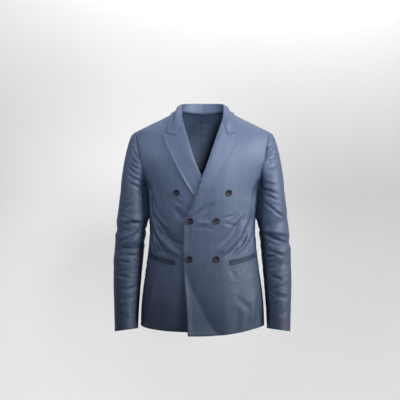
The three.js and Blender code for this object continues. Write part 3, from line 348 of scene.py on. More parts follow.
POCKET = {"startX": 86, "startZ": -471, "length": 136, "rise": 0.165, "jet": 7, "slit": 0.6, "cloth": 1.5}
BUTTON = {"radius": 10, "height": 3.4, "rim": 1.5, "dish": 1.1, "hole": 0.95, "pitch": 2.1, "seat": 0.9}
BUTTONS = (
    ("button_top_right", "right", 81.4, -250, 12),
    ("button_top_left", "left", 81.4, -250, -20),
    ("button_middle_right", "left", -37.8, -338.6, 31),
    ("button_middle_left", "left", 43.4, -338.6, 5),
    ("button_bottom_right", "left", -40.3, -459.5, -9),
    ("button_bottom_left", "left", 44, -459.5, 40),
)
FLAT_ROUND_BUTTON = 17
FLAT_ROUND_POCKET = (4, 26)
FLAT_ROUND_ARMHOLE = 20
JET_RIDGE = {"below": 3.2, "width": 2.2}

# Strips that each part of a piece is drawn in, 2 to 4 mm wide
STRIPS = {
    "frontAcross": 66, "armhole": 30, "skirt": 54, "waist": 63, "chest": 72, "lapelRise": 28,
    "neckRise": 35, "backNeck": 30, "backShoulder": 18, "backRise": 42, "cap": 55, "sleeve": 182,
}
SLEEVE_SEAM_SHARE = 0.4
JOIN_REACH = 34
JOIN_COLUMNS = 12


def along(rows, place, column):
    """A column read at a place on the first one.

    Between two rows it is the cubic whose slopes at them are those of the lines that join their neighbours.
    """
    keys, values = next(iter(rows.values())), rows[column]
    last = len(keys) - 1
    index = np.arange(last + 1)
    before, after = np.maximum(index - 1, 0), np.minimum(index + 1, last)
    slopes = (values[after] - values[before]) / (keys[after] - keys[before])
    place = np.clip(place, keys[0], keys[-1])
    row = np.clip(np.searchsorted(keys, place, side="right") - 1, 0, last - 1)
    width, rise = keys[row + 1] - keys[row], values[row + 1] - values[row]
    first, second = slopes[row] * width, slopes[row + 1] * width
    s = (place - keys[row]) / width
    square, cube = 3 * rise - 2 * first - second, first + second - 2 * rise
    return values[row] + s * (first + s * (square + s * cube))


def smooth(value, start, end):
    """0 up to start and 1 from end, rising smoothly between them."""
    t = np.clip((np.asarray(value, float) - start) / (end - start), 0, 1)
    return t * t * (3 - 2 * t)


def lerp(a, b, t):
    """On the straight way from a (0) to b (1)."""
    return a + (b - a) * t


def blend_ends(a, b, s):
    """Cubic from one place to another that starts and ends at rest."""
    return a * (1 - 3 * s ** 2 + 2 * s ** 3) + b * (3 * s ** 2 - 2 * s ** 3)


def between(z, band, loss=1.0):
    """Rises to 1 going down into a band of heights, and falls again by the loss below it."""
    return smooth(z, band[0], band[1]) * (1 - loss * smooth(z, band[2], band[3]))


def by_side(first, side):
    """Seed of a random pattern: the first one on the left and the next one on the right."""
    return first + (side == "right")


def steps(start, end, count):
    """Places from start to end in equal steps, the start left out."""
    return np.linspace(start, end, count + 1)[1:]


def vector(x, y, z):
    """Points from three coordinates that are spread to one shape."""
    return np.stack(np.broadcast_arrays(np.asarray(x, float), y, z), -1)


def unit(v):
    """Vectors divided by their own lengths."""
    return v / np.maximum(np.linalg.norm(v, axis=-1, keepdims=True), 1e-12)


def dot(a, b):
    """Sum of the products of two vectors' coordinates, kept as one column."""
    return (a * b).sum(-1, keepdims=True)


def surface_normal(surface, u, v, step_u, step_v):
    """Unit normal of a surface of two values: across its first one, then up its second."""
    across = surface(u + step_u, v) - surface(u - step_u, v)
    up = surface(u, v + step_v) - surface(u, v - step_v)
    return unit(np.cross(across, up))


# The form under the cloth

def body_point(angle, z):
    """Rounded outline at each height: half width and depth times sine and cosine raised to 2 / power."""
    half, front, back, power = (along(BODY, z, name) for name in ("half", "front", "back", "power"))
    across = np.sign(np.sin(angle)) * np.abs(np.sin(angle)) ** (2 / power)
    deep = np.abs(np.cos(angle)) ** (2 / power)
    return vector(half * across, np.where(np.cos(angle) > 0, -front * deep, back * deep), z)


def body_normal(angle, z):
    """Unit normal of the form below the notches."""
    return surface_normal(body_point, angle, z, 0.01, 1)


def front_angle(x, z):
    """Angle of the form's front at a distance from the middle."""
    share = np.minimum(np.abs(x) / along(BODY, z, "half"), 1)
    return np.sign(x) * np.arcsin(share ** (along(BODY, z, "power") / 2))


def ridge(x, back):
    """Depth and height of the shoulder line, of the neck line's slope in front and of the scooped nape."""
    seam = SEAM / 2 if back else -SEAM / 2
    outside = NECK_Z - (x - NECK_X) * SHOULDER_DROP / (SHOULDER_X - NECK_X)
    if not back:
        inside = NECK_Z + (NECK_X - x) * GORGE_SLOPE
        return np.full_like(outside, seam), np.where(x >= NECK_X, outside, inside)
    inward = np.clip(1 - (x / NECK_X) ** 2, 0, None)
    return seam + NAPE_Y * np.sqrt(inward), np.where(x >= NECK_X, outside, NECK_Z + NAPE_RISE * inward)


def chest_depth(x, back):
    """Depth of the form at the height of the notches, from its rounded outline."""
    half, power = along(BODY, CHEST_Z, "half"), along(BODY, CHEST_Z, "power")
    share = np.clip(1 - (np.abs(x) / half) ** power, 0, None) ** (1 / power)
    return along(BODY, CHEST_Z, "back") * share if back else -along(BODY, CHEST_Z, "front") * share


def arc_power(x):
    """Power of the arc up to the shoulder: it grows, so the arc gets squarer, towards the arm."""
    return lerp(CHEST_POWER, ARM_POWER, smooth(x, ARC_X, SHOULDER_X))


def shoulder_point(x, t, back=False):
    """Arc over a distance from the middle, from the chest (0) up to the shoulder line (1)."""
    x, t = np.broadcast_arrays(np.asarray(x, float), np.asarray(t, float))
    top_y, top_z = ridge(x, back)
    turn = np.pi / 2 * np.clip(t, 0, 1)
    rise = np.sin(turn) ** (2 / arc_power(x))
    fall = np.clip(np.cos(turn), 0, None) ** (2 / arc_power(x))
    return vector(x, top_y + (chest_depth(x, back) - top_y) * fall, CHEST_Z + (top_z - CHEST_Z) * rise)


def shoulder_normal(x, t, back):
    """Unit normal of the arc, with no part to the front or back at the shoulder seam."""
    normal = surface_normal(lambda u, v: shoulder_point(u, v, back), x, np.clip(t, 0.015, 0.985), 0.5, 0.01)
    if back:
        normal = -normal
    normal[..., 1] *= np.where(np.asarray(t) >= 1, 0, 1)
    return unit(normal)


def front_depth(x, z):
    """Depth of the front at a place seen from the front."""
    half, front, power = (along(BODY, z, name) for name in ("half", "front", "power"))
    low = -front * np.clip(1 - (np.abs(x) / half) ** power, 0, None) ** (1 / power)
    rise = np.clip((z - CHEST_Z) / (ridge(x, False)[1] - CHEST_Z), 0, 1)
    high = chest_depth(x, False) * (1 - rise ** arc_power(x)) ** (1 / arc_power(x))
    return np.where(z <= CHEST_Z, low, high)


# Folds

def fold_height(folds, side, degrees, z, radius, shoulders=0.0):
    """Sum of soft troughs and ridges.

    Each follows a bowed line from one place to another. Its height falls off beside the line as a bell,
    with a low bank on both sides where shoulders is more than 0, and is gone past both ends.
    """
    height = np.zeros(np.broadcast(degrees, z).shape)
    for which, start, start_z, end, end_z, bow, depth, width in folds:
        if which not in (side, "both"):
            continue
        along_x, along_z = math.radians(end - start) * radius, end_z - start_z
        length = math.hypot(along_x, along_z)
        off_x = np.radians((degrees - start + 180) % 360 - 180) * radius
        off_z = z - start_z
        way = (off_x * along_x + off_z * along_z) / length ** 2
        beside = (off_x * along_z - off_z * along_x) / length - bow * 4 * way * (1 - way)
        taper = np.exp(-1.2 * np.abs(2 * way - 1) ** 4)
        bell = np.exp(-((beside / width) ** 2))
        bank = np.exp(-(((np.abs(beside) - 2 * width) / width) ** 2))
        height += depth * taper * (bell - shoulders * bank)
    return height


def elbow_height(side, degrees, z):
    """Troughs and ridges across the elbow, each fading round the sleeve and up and down."""
    height = np.zeros(np.broadcast(degrees, z).shape)
    for which, middle, middle_z, tilt, reach, depth, width in ELBOW_FOLDS:
        if which not in (side, "both"):
            continue
        girth = np.radians((degrees - middle + 180) % 360 - 180) * ARM_RADIUS
        beside = (z - middle_z - tilt * girth) / width
        height += depth * np.exp(-((girth / reach) ** 4)) * np.exp(-(beside ** 2))
    return height


def ripple(u, v, seed, wave, lean=1.0):
    """Faint unevenness of worn cloth: twelve slanting waves of mixed length, each at most one unit high."""
    rng = np.random.default_rng(seed)
    total = np.zeros(np.broadcast(u, v).shape)
    for _ in range(12):
        heading, length, phase = rng.uniform(0, np.pi), wave * rng.uniform(0.7, 1.9), rng.uniform(0, 6.28)
        total += np.sin(2 * np.pi * (u * math.cos(heading) + lean * v * math.sin(heading)) / length + phase)
    return total / 4


def crumple(u, v, seed, wave, slant):
    """Small sharp ridges of crushed cloth.

    Wave trains across v, slanted and bent by slow ripples, each raised to a power so that its ridges are
    narrow, and each fading in and out in patches.
    """
    total = np.zeros(np.broadcast(u, v).shape)
    for step, lean in enumerate((slant, -0.6 * slant, 0.3 * slant)):
        bend = 0.55 * wave * ripple(u, v, seed + 10 * step, 5 * wave)
        phase = 2 * np.pi * (v + lean * u + bend) / (wave * (1 + 0.35 * step))
        patch = smooth(ripple(u, v, seed + 10 * step + 5, 6 * wave), 0.0, 0.9)
        total += patch * (0.5 + 0.5 * np.cos(phase)) ** CRUMPLE_SHARPNESS
    return total


def away_from_buttons(side, x, z):
    """0 at the buttons of a front, 1 away from them."""
    share = np.ones(np.broadcast(x, z).shape)
    for _, which, button_x, button_z, _ in BUTTONS:
        if which == side:
            distance = np.hypot(x - button_x, z - button_z)
            share *= smooth(distance, FLAT_ROUND_BUTTON, 2 * FLAT_ROUND_BUTTON)
    return share


def away_from_pocket(angle, z):
    """0 at the pocket, 1 away from it."""
    girth = (angle - front_angle(POCKET["startX"], POCKET["startZ"])) * GIRTH_RADIUS
    level = POCKET["startZ"] + POCKET["rise"] * girth
    beside = np.where(girth < 0, np.hypot(girth, z - level), np.abs(z - level))
    return smooth(beside, POCKET["jet"] + FLAT_ROUND_POCKET[0], POCKET["jet"] + FLAT_ROUND_POCKET[1])


def away_from_armhole(degrees, z):
    """0 at the armhole of a front, 1 away from it."""
    sine = np.clip((CHEST_Z - z) / (CHEST_Z - PIT_Z), 0, 1)
    edge = lerp(front_angle(NOTCH_FRONT_X, CHEST_Z), SIDE_ANGLE, 1 - np.sqrt(1 - sine ** 2))
    distance = (edge - np.radians(degrees)) * GIRTH_RADIUS
    return np.where(z < PIT_Z, 1, smooth(distance, 0, FLAT_ROUND_ARMHOLE))


def pocket_ridge(angle, z):
    """Low ridge under the lower jet, where its seam is pressed down."""
    girth = (angle - front_angle(POCKET["startX"], POCKET["startZ"])) * GIRTH_RADIUS
    below = z - POCKET["startZ"] - POCKET["rise"] * girth + POCKET["jet"] + JET_RIDGE["below"]
    ends = smooth(girth, -6, 2) * (1 - smooth(girth, POCKET["length"], POCKET["length"] + 10))
    return np.exp(-((below / JET_RIDGE["width"]) ** 2)) * ends


def overlap_lift(x, z):
    """Height by which the left front is carried out over the right one: it fades sideways and upwards."""
    across = 1 - smooth(x, LIFT["fullX"], LIFT["goneX"])
    begin = 1 - smooth(z, LIFT["fullZ"], LIFT["goneZ"])
    return across * begin * lerp(LIFT["skirt"], LIFT["roll"], smooth(z, LIFT["skirtZ"], LIFT["rollZ"]))


def front_rise(side, angle, x, z):
    """Height of a front over the form: the lift of the overlap and the largest folds."""
    lift = overlap_lift(x, z) if side == "left" else 0
    folds = FRONT_CLOTH["folds"] * fold_height(FRONT_FOLDS, side, np.degrees(angle), z, GIRTH_RADIUS)
    fade = 1 - smooth(z, -255, PIT_Z)
    return lift + folds * fade * away_from_buttons(side, x, z) * away_from_pocket(angle, z)


def corner_flare(x, z):
    """Sharp valley across the lower corner of the left front, from which the corner stands off straight."""
    past = along(FLARE, z, "x") - x
    soft = 0.5 * (past + np.hypot(past, FLARE_SHAPE["sharp"]))
    valley = FLARE_SHAPE["sink"] * np.exp(-np.maximum(-past, 0) / FLARE_SHAPE["reach"])
    fade = 1 - smooth(z, FLARE_SHAPE["fullZ"], FLARE_SHAPE["goneZ"])
    return (FLARE_SHAPE["slope"] * soft - valley) * fade


def front_detail(side, degrees, z):
    """Finer creases of a front, drawn flat at its buttons, its pocket and its armhole.

    Faint ripples lie everywhere, and crushed cloth most at the waist. The left front also has its flared
    corner, and an edge that springs up below the lapel.
    """
    angle = np.radians(degrees)
    girth = angle * GIRTH_RADIUS
    x = body_point(angle, z)[..., 0]
    raised = pocket_ridge(angle, z)
    if side == "left":
        from_edge = x - front_edge(side, z)
        raised = raised + corner_flare(x, z)
        spring = EDGE_SPRING["height"] * (1 - smooth(from_edge, 0, EDGE_SPRING["reach"]))
        below_lapel = 1 - smooth(z, EDGE_SPRING["fullZ"], EDGE_SPRING["goneZ"])
        raised = raised + spring * below_lapel * away_from_buttons(side, x, z)
    creases = fold_height(FRONT_CREASES, side, degrees, z, GIRTH_RADIUS, CREASE_BANK)
    pulled = away_from_buttons(side, x, z) * away_from_pocket(angle, z) * away_from_armhole(degrees, z)
    ripples = FRONT_CLOTH["ripple"] * ripple(girth, z, by_side(3, side), FRONT_CLOTH["rippleWave"])
    waist = between(z, WAIST_BAND) * smooth(np.abs(degrees), 12, 45)
    crushed = crumple(
        girth, z, by_side(13, side), FRONT_CLOTH["crumpleWave"], FRONT_CLOTH["crumpleSlant"],
    )
    ripples = ripples * (0.4 + smooth(z, CHEST_Z, -300))
    crushing = FRONT_CLOTH["crumple"] + FRONT_CLOTH["waistCrumple"] * waist
    return FRONT_CLOTH["creases"] * creases * pulled + ripples + crushing * crushed * pulled + raised


def back_detail(side, degrees, z):
    """Finer creases of a back, and faint ripples everywhere."""
    creases = fold_height(BACK_CREASES, side, degrees, z, GIRTH_RADIUS, CREASE_BANK)
    girth = np.radians(degrees) * GIRTH_RADIUS
    return creases + BACK_CLOTH["ripple"] * ripple(girth, z, by_side(5, side), BACK_CLOTH["rippleWave"])


def sleeve_detail(side, degrees, z):
    """Finer creases of a sleeve, with ripples and crushed cloth that grow at the elbow."""
    creases = fold_height(SLEEVE_CREASES, side, degrees, z, ARM_RADIUS, CREASE_BANK)
    girth, seed = np.radians(degrees) * ARM_RADIUS, by_side(7, side)
    elbow = between(z, ELBOW_BAND, 0.75)
    crushed = crumple(girth, z, seed, SLEEVE_CLOTH["crumpleWave"], SLEEVE_CLOTH["crumpleSlant"])
    crushed = crushed * (0.35 + 0.65 * np.abs(np.sin(np.radians(degrees))))
    rippling = SLEEVE_CLOTH["ripple"] + SLEEVE_CLOTH["elbowRipple"] * elbow
    crushing = SLEEVE_CLOTH["crumple"] + SLEEVE_CLOTH["elbowCrumple"] * elbow
    ripples = rippling * ripple(girth, z, seed, SLEEVE_CLOTH["rippleWave"])
    return SLEEVE_CLOTH["creases"] * creases + ripples + crushing * crushed


def ease_join(lower, upper, columns, reach, share):
    """Rounds the bend where two grids meet on a shared row.

    In the shared columns, the points within a reach of the row move by a share of the way onto the cubic
    that leaves and meets the columns in their own directions.
    """
    count = lower["point"].shape[0]
    column = np.concatenate([lower["point"][:, columns], upper["point"][1:]])
    run = lengths_along(column, 0)
    run = run - run[count - 1]
    slope = np.gradient(column, axis=0) / np.gradient(run, axis=0)[..., None]
    place = np.arange(column.shape[1])
    low, high = (np.abs(run - side).argmin(0) for side in (-reach, reach))
    start, end = run[low, place], run[high, place]
    span = (end - start)[None, :, None]
    s = np.clip((run - start) / (end - start), 0, 1)[..., None]
    bend = blend_ends(column[low, place], column[high, place], s)
    bend = bend + slope[low, place] * span * (s - 2 * s ** 2 + s ** 3)
    bend = bend + slope[high, place] * span * (s ** 3 - s ** 2)
    inside = ((run > start) & (run < end))[..., None]
    column = np.where(inside, lerp(column, bend, share[None, :, None]), column)
    lower["point"][:, columns] = column[:count]
    upper["point"][:] = column[count - 1:]
    for grid in (lower, upper):
        level = normals_of(grid["point"])
        grid["normal"] = np.where(dot(grid["normal"], level) > 0, level, -level)
    shared = unit(lower["normal"][-1, columns] + upper["normal"][0])
    lower["normal"][-1, columns] = shared
    upper["normal"][0] = shared


# Grids of the pieces. A grid is a dict of arrays with rows and columns: point, normal, place (degrees
# round and height, where creases are drawn), flat (the place on the flat cloth) and free (a free edge).

def make_grid(point, normal, place, flat, free=None):
    """Grid of a piece with unit normals, and no free edge if none is given."""
    shape = point.shape[:2]
    free = np.zeros(shape, bool) if free is None else free
    return {"point": point, "normal": unit(normal), "place": place, "flat": flat, "free": free}


def pair(a, b):
    """Two values side by side, spread to one shape."""
    return np.stack(np.broadcast_arrays(np.asarray(a, float), b), -1)


def body_grid(point, normal, angle, z, free=None):
    """Grid whose creases and flat cloth are placed by the angle round the body and the height."""
    return make_grid(point, normal, pair(np.degrees(angle), z), pair(angle * GIRTH_RADIUS, z), free)


def edges_of(shape, rows=(), cols=()):
    """Marks the named rows and columns of a grid."""
    mark = np.zeros(shape, bool)
    mark[list(rows), :] = True
    mark[:, list(cols)] = True
    return mark


UPPER_T = np.concatenate([
    [0], steps(0, GORGE_T, STRIPS["lapelRise"]), steps(GORGE_T, 1, STRIPS["neckRise"]),
])
BACK_T = np.linspace(0, 1, STRIPS["backRise"] + 1)
SEAM_TURN = SEAM / 2 / along(BODY, PIT_Z, "front")


def front_armhole_x(t):
    """Armhole of a front over its notch: it leans out to the shoulder by a power of the way up."""
    return NOTCH_FRONT_X + (SHOULDER_X - NOTCH_FRONT_X) * t ** 0.8


def lower_armhole(back):
    """Angle and height of the armhole from its notch to the underarm: a quarter of an oval."""
    turn = np.pi / 2 * steps(0, 1, STRIPS["armhole"])
    notch = np.pi - front_angle(NOTCH_BACK_X, CHEST_Z) if back else front_angle(NOTCH_FRONT_X, CHEST_Z)
    side = SIDE_ANGLE + (SEAM_TURN if back else -SEAM_TURN)
    return lerp(notch, side, 1 - np.cos(turn)), CHEST_Z + (PIT_Z - CHEST_Z) * np.sin(turn)


def front_edge(side, z):
    """Distance of a front's edge from the middle at a height."""
    return along(FRONT_EDGE, z, side)


def rising_edge(side, t):
    """Inner edge of a front above the notches, where it rises with the form."""
    rise = np.sin(np.pi / 2 * np.clip(t, 0, 1)) ** (2 / CHEST_POWER)
    x = np.full(np.shape(t), front_edge(side, CHEST_Z))
    for _ in range(6):
        x = front_edge(side, CHEST_Z + (ridge(x, False)[1] - CHEST_Z) * rise)
    return x


def hem_height(side, angle):
    """Height of the hem, which drops towards the middle by a power of the angle's cosine."""
    return HEM_Z - HEM_DROP[side] * np.clip(np.cos(angle), 0, None) ** HEM_POWER[side]


def front_rows(side):
    """Shares of the way up a front's columns, with a row at the waist and at the break."""
    foot = hem_height(side, front_angle(front_edge(side, HEM_Z), HEM_Z))
    waist, high = ((z - foot) / (CHEST_Z - foot) for z in (WAIST_Z, BREAK_Z))
    return np.concatenate([
        [0], steps(0, waist, STRIPS["skirt"]), steps(waist, high, STRIPS["waist"]),
        steps(high, 1, STRIPS["chest"]),
    ])


def front_grids(side):
    """Front from the hem to the chest in columns that spread to the side seam, and from there up the arc."""
    side_angle = SIDE_ANGLE - SEAM_TURN

    def inner(z):
        return front_angle(front_edge(side, z), z)

    def share_at(angle, z):
        return (angle - inner(z)) / (side_angle - inner(z))

    notch_share = share_at(front_angle(NOTCH_FRONT_X, CHEST_Z), CHEST_Z)
    across = np.linspace(0, notch_share, STRIPS["frontAcross"] + 1)
    arm_angle, arm_z = lower_armhole(False)
    share = np.concatenate([across, share_at(arm_angle, arm_z)])
    top_z = np.concatenate([np.full(len(across), float(CHEST_Z)), arm_z])
    even = np.linspace(0, 1, len(share))
    way = front_rows(side)[:, None]
    hem = hem_height(side, lerp(inner(HEM_Z), side_angle, even))
    z = lerp(hem, top_z, way)
    angle = lerp(inner(z), side_angle, lerp(even, share, way ** 2))
    base, normal = body_point(angle, z), body_normal(angle, z)
    point = base + normal * front_rise(side, angle, base[..., 0], z)[..., None]
    lower = body_grid(point, normal, angle, z, edges_of(z.shape, rows=[0], cols=[0]))
    t = UPPER_T[:, None]
    start_x = body_point(lerp(inner(CHEST_Z), side_angle, across), CHEST_Z)[..., 0]
    inner_move = rising_edge(side, UPPER_T)[:, None] - front_edge(side, CHEST_Z)
    x = start_x + inner_move * (1 - across / notch_share)
    x = x + (front_armhole_x(t) - NOTCH_FRONT_X) * (across / notch_share)
    base = shoulder_point(x, t)
    normal = shoulder_normal(x, t + 0 * x, False)
    normal[0] = body_normal(front_angle(x[0], CHEST_Z), CHEST_Z)
    lift = overlap_lift(base[..., 0], base[..., 2]) if side == "left" else 0 * x
    at = front_angle(x, CHEST_Z)
    raised = base + normal * lift[..., None]
    upper = body_grid(raised, normal, at, base[..., 2], edges_of(x.shape, cols=[0]))
    inward = np.arange(x.shape[1])[::-1]
    share = smooth(inward, 0, JOIN_COLUMNS) * smooth(upper["point"][0, :, 0], 60, 120)
    ease_join(lower, upper, slice(0, x.shape[1]), JOIN_REACH, share)
    return [lower, upper]


def back_grids(side):
    """Back from the hem to the chest, and from there up the arc to the shoulder seam and the nape."""
    turn = np.pi / 2 * np.linspace(0, 1, STRIPS["backNeck"] + 1)
    neck_x = NECK_X * np.cos(turn)
    neck_x[-1] = 0
    top_x = np.concatenate([
        [SHOULDER_X], steps(SHOULDER_X, NECK_X, STRIPS["backShoulder"]), neck_x[1:],
    ])
    chest_x = top_x * (NOTCH_BACK_X / SHOULDER_X)
    arm_angle, arm_z = lower_armhole(True)
    column_angle = np.concatenate([arm_angle[::-1], np.pi - front_angle(chest_x, CHEST_Z)])
    column_z = np.concatenate([arm_z[::-1], np.full(len(chest_x), float(CHEST_Z))])
    side_angle = SIDE_ANGLE + SEAM_TURN
    way = front_rows(side)[:, None]
    even = np.linspace(side_angle, np.pi, len(column_angle))
    angle = lerp(even, column_angle, way ** 2)
    z = lerp(HEM_Z, column_z, way)
    fade = 1 - smooth(z, -240, -215)
    folds = fold_height(BACK_FOLDS, side, np.degrees(angle), z, GIRTH_RADIUS) * fade
    normal = body_normal(angle, z)
    point = body_point(angle, z) + normal * folds[..., None]
    point[..., 0] = np.maximum(point[..., 0], SEAM / 2)
    lower = body_grid(point, normal, angle, z, edges_of(z.shape, rows=[0]))
    height = BACK_T[:, None] * (1 - NAPE_SCOOP * np.clip(1 - (top_x / NECK_X) ** 2, 0, None))
    x = lerp(chest_x, top_x, height)
    normal = shoulder_normal(np.maximum(x, 1), height, True)
    normal[0] = body_normal(np.pi - front_angle(x[0], CHEST_Z), CHEST_Z)
    point = shoulder_point(x, height, True)
    point[..., 0] = np.maximum(point[..., 0], SEAM / 2)
    at = np.pi - front_angle(x, CHEST_Z)
    upper = body_grid(point, normal, at, point[..., 2])
    share = smooth(np.arange(x.shape[1]), 0, JOIN_COLUMNS)
    ease_join(lower, upper, slice(STRIPS["armhole"], None), JOIN_REACH, share)
    return [lower, upper]


def front_view(side, x, z, height=0.0):
    """Point and normal of a front's outer face at a place seen from the front, moved out by a height."""
    x, z = np.broadcast_arrays(np.asarray(x, float), np.asarray(z, float))
    slope_x = front_depth(x + 0.5, z) - front_depth(x - 0.5, z)
    slope_z = front_depth(x, z + 0.5) - front_depth(x, z - 0.5)
    normal = unit(vector(slope_x, -1, slope_z))
    angle = front_angle(x, np.minimum(z, CHEST_Z))
    rise = front_rise(side, angle, x, z) * np.where(z > PIT_Z, 0, 1)
    rise = rise + (overlap_lift(x, z) if side == "left" else 0) * np.where(z > PIT_Z, 1, 0)
    rise = rise + front_detail(side, np.degrees(angle), z)
    return vector(x, front_depth(x, z), z) + normal * (rise + height)[..., None], normal


# Lapels and collar

def laid_height(distance, radius, puff):
    """Height of a turned-back piece over its front: high at the roll, a low swell, then at rest."""
    rest = CLOTH + LAID
    roll = (2 * radius - CLOTH - rest) * np.exp(-((distance / ROLL_FADE) ** 2))
    return rest + roll + puff * (distance / PUFF_REACH) * np.exp(1 - distance / PUFF_REACH)


ROLL_TURN = np.radians(np.linspace(0, 180, 13))


def roll_points(point, normal, away, radius):
    """Half circle of points from the front's edge over to its outer face, and their normals."""
    radius = np.broadcast_to(radius, point.shape[:-1])[..., None]
    centre = point - away * SEAM + normal * (radius - CLOTH)
    turn = ROLL_TURN[:, None]
    out = -away[..., None, :] * np.sin(turn) - normal[..., None, :] * np.cos(turn)
    return centre[..., None, :] + out * radius[..., None, :], out


def away_from(side, x, z, to_x, to_z):
    """Direction along a front's face from one place towards another."""
    reach = np.hypot(to_x - x, to_z - z)
    start, normal = front_view(side, x, z)
    ahead, _ = front_view(side, x + 4 * (to_x - x) / reach, z + 4 * (to_z - z) / reach)
    away = ahead - start
    return unit(away - normal * dot(away, normal))


def gorge(side, corner):
    """Gorge seam of one front from the roll to the notch and on to a corner, and the bend's share of it."""
    roll_x = rising_edge(side, np.array(GORGE_T))
    roll_z = shoulder_point(roll_x, GORGE_T)[..., 2]
    notch_x, notch_z = NOTCH[side]
    inner = math.hypot(notch_x - roll_x, notch_z - roll_z)
    outer = math.hypot(corner[0] - notch_x, corner[1] - notch_z)
    bend = inner / (inner + outer)

    def at(way):
        rest = (way - bend) / (1 - bend)
        x = np.where(way <= bend, lerp(roll_x, notch_x, way / bend), lerp(notch_x, corner[0], rest))
        z = np.where(way <= bend, lerp(roll_z, notch_z, way / bend), lerp(notch_z, corner[1], rest))
        return x, z

    return bend, at, float(roll_x), float(roll_z)


def lapel_tip(side):
    """Upper outer corner of a lapel, seen from the front."""
    return LAPEL_EDGE[side + "X"][-1], LAPEL_EDGE[side + "Z"][-1]


def gorge_roll(side, shift):
    """The half circle where collar and lapel meet."""
    _, _, roll_x, roll_z = gorge(side, NOTCH[side])
    tip_x, tip_z = lapel_tip(side)
    away = away_from(side, roll_x, roll_z, tip_x, tip_z)
    point, normal = front_view(side, roll_x, roll_z)
    up = unit(np.cross(normal, away))
    point = point + up * (shift if up[2] > 0 else -shift)
    return roll_points(point, normal, away, ROLL_RADIUS)


def normals_of(point, closed=False):
    """Normals of a grid from its neighbours; a closed grid's columns run all round."""
    if closed:
        across = np.roll(point, -1, 1) - np.roll(point, 1, 1)
    else:
        across = np.gradient(point, axis=1)
    return unit(np.cross(across, np.gradient(point, axis=0)))


def lengths_along(point, axis):
    """Running length along the rows or the columns of a grid."""
    gaps = np.linalg.norm(np.diff(point, axis=axis), axis=-1)
    return np.concatenate([np.zeros_like(gaps.take([0], axis)), np.cumsum(gaps, axis)], axis)


def flat_of(point):
    """Flat place of each point of a grid: its length along its row and its mean length up the columns."""
    up = lengths_along(point, 0).mean(1, keepdims=True)
    return pair(lengths_along(point, 1), up)


def lapel_grid(side):
    """Lapel from its roll line out to its edge.

    Round the roll it is the half circle. Past it a row runs straight to the lapel's edge, at the laid
    height over the front. The last rows bend into the gorge seam, with its notch.
    """
    way_up = front_rows(side)[STRIPS["skirt"] + STRIPS["waist"]:]
    foot = hem_height(side, front_angle(front_edge(side, HEM_Z), HEM_Z))
    low_z = lerp(foot, CHEST_Z, way_up)
    high_t = UPPER_T[1:STRIPS["lapelRise"] + 1]
    high_x = rising_edge(side, high_t)
    x = np.concatenate([front_edge(side, low_z), high_x])
    z = np.concatenate([low_z, shoulder_point(high_x, high_t)[..., 2]])
    tip = lapel_tip(side)
    bend, at, roll_x, roll_z = gorge(side, tip)
    share = np.concatenate([bend * np.array([0.05, 0.1]), steps(0.1 * bend, bend, 22), steps(bend, 1, 12)])
    way = np.linspace(0, 1, len(x))
    edge_x, edge_z = along(LAPEL_EDGE, way, side + "X"), along(LAPEL_EDGE, way, side + "Z")
    radius = lerp(BREAK_RADIUS, ROLL_RADIUS, smooth(way, 0, 0.3))
    puff = LAPEL_PUFF * (np.ones_like(z) if side == "left" else smooth(z, LIFT["fullZ"], CHEST_Z))
    point, normal = front_view(side, x, z)
    round_point, _ = roll_points(point, normal, away_from(side, x, z, edge_x, edge_z), radius)
    end_point, _ = gorge_roll(side, -SEAM)
    near_end = smooth(way, 0.93, 1)[:, None, None]
    round_point = lerp(round_point, end_point[None], near_end)
    bent_x, bent_z = at(share)
    pull = way[:, None] ** 16
    place_x = lerp(x[:, None], edge_x[:, None], share) + (bent_x - lerp(roll_x, tip[0], share)) * pull
    place_z = lerp(z[:, None], edge_z[:, None], share) + (bent_z - lerp(roll_z, tip[1], share)) * pull
    place_z = place_z - SEAM * smooth(way, 0.95, 1)[:, None]
    distance = np.hypot(place_x - x[:, None], place_z - z[:, None])
    height = laid_height(distance, radius[:, None], puff[:, None])
    waves = 0.5 * ripple(distance, lengths_along(point, 0)[:, None], by_side(9, side), 70)
    height = height + waves * smooth(distance, 4, 30) * smooth(way, 0.05, 0.3)[:, None]
    height = height + LAPEL_STAND_OFF[side] * smooth(share, 0.8, 1) * smooth(way, 0.1, 0.3)[:, None]
    flat_point, _ = front_view(side, place_x, place_z, height)
    point = np.concatenate([round_point, flat_point], 1)
    grid = make_grid(point, normals_of(point), flat_of(point), flat_of(point))
    grid["free"] = edges_of(point.shape[:2], rows=[0], cols=[-1])
    grid["free"][-1, len(ROLL_TURN) + np.searchsorted(share, bend):] = True
    return grid


def over_form(point):
    """Signed distance over the form above the notches, and the direction out of it."""
    def level(p):
        values = []
        for back in (False, True):
            top_y, top_z = ridge(p[..., 0], back)
            rise = np.clip(p[..., 2] - CHEST_Z, 0, None) / (top_z - CHEST_Z)
            deep = np.abs((p[..., 1] - top_y) / (chest_depth(p[..., 0], back) - top_y))
            power = arc_power(p[..., 0])
            values.append((rise ** power + deep ** power) ** (1 / power) - 1)
        return np.where(p[..., 1] > 0, values[1], values[0])

    step = 0.2
    slopes = [(level(point + step * axis) - level(point - step * axis)) / (2 * step) for axis in np.eye(3)]
    gradient = np.stack(slopes, -1)
    steep = np.linalg.norm(gradient, axis=-1)
    return level(point) / steep, gradient / steep[..., None]


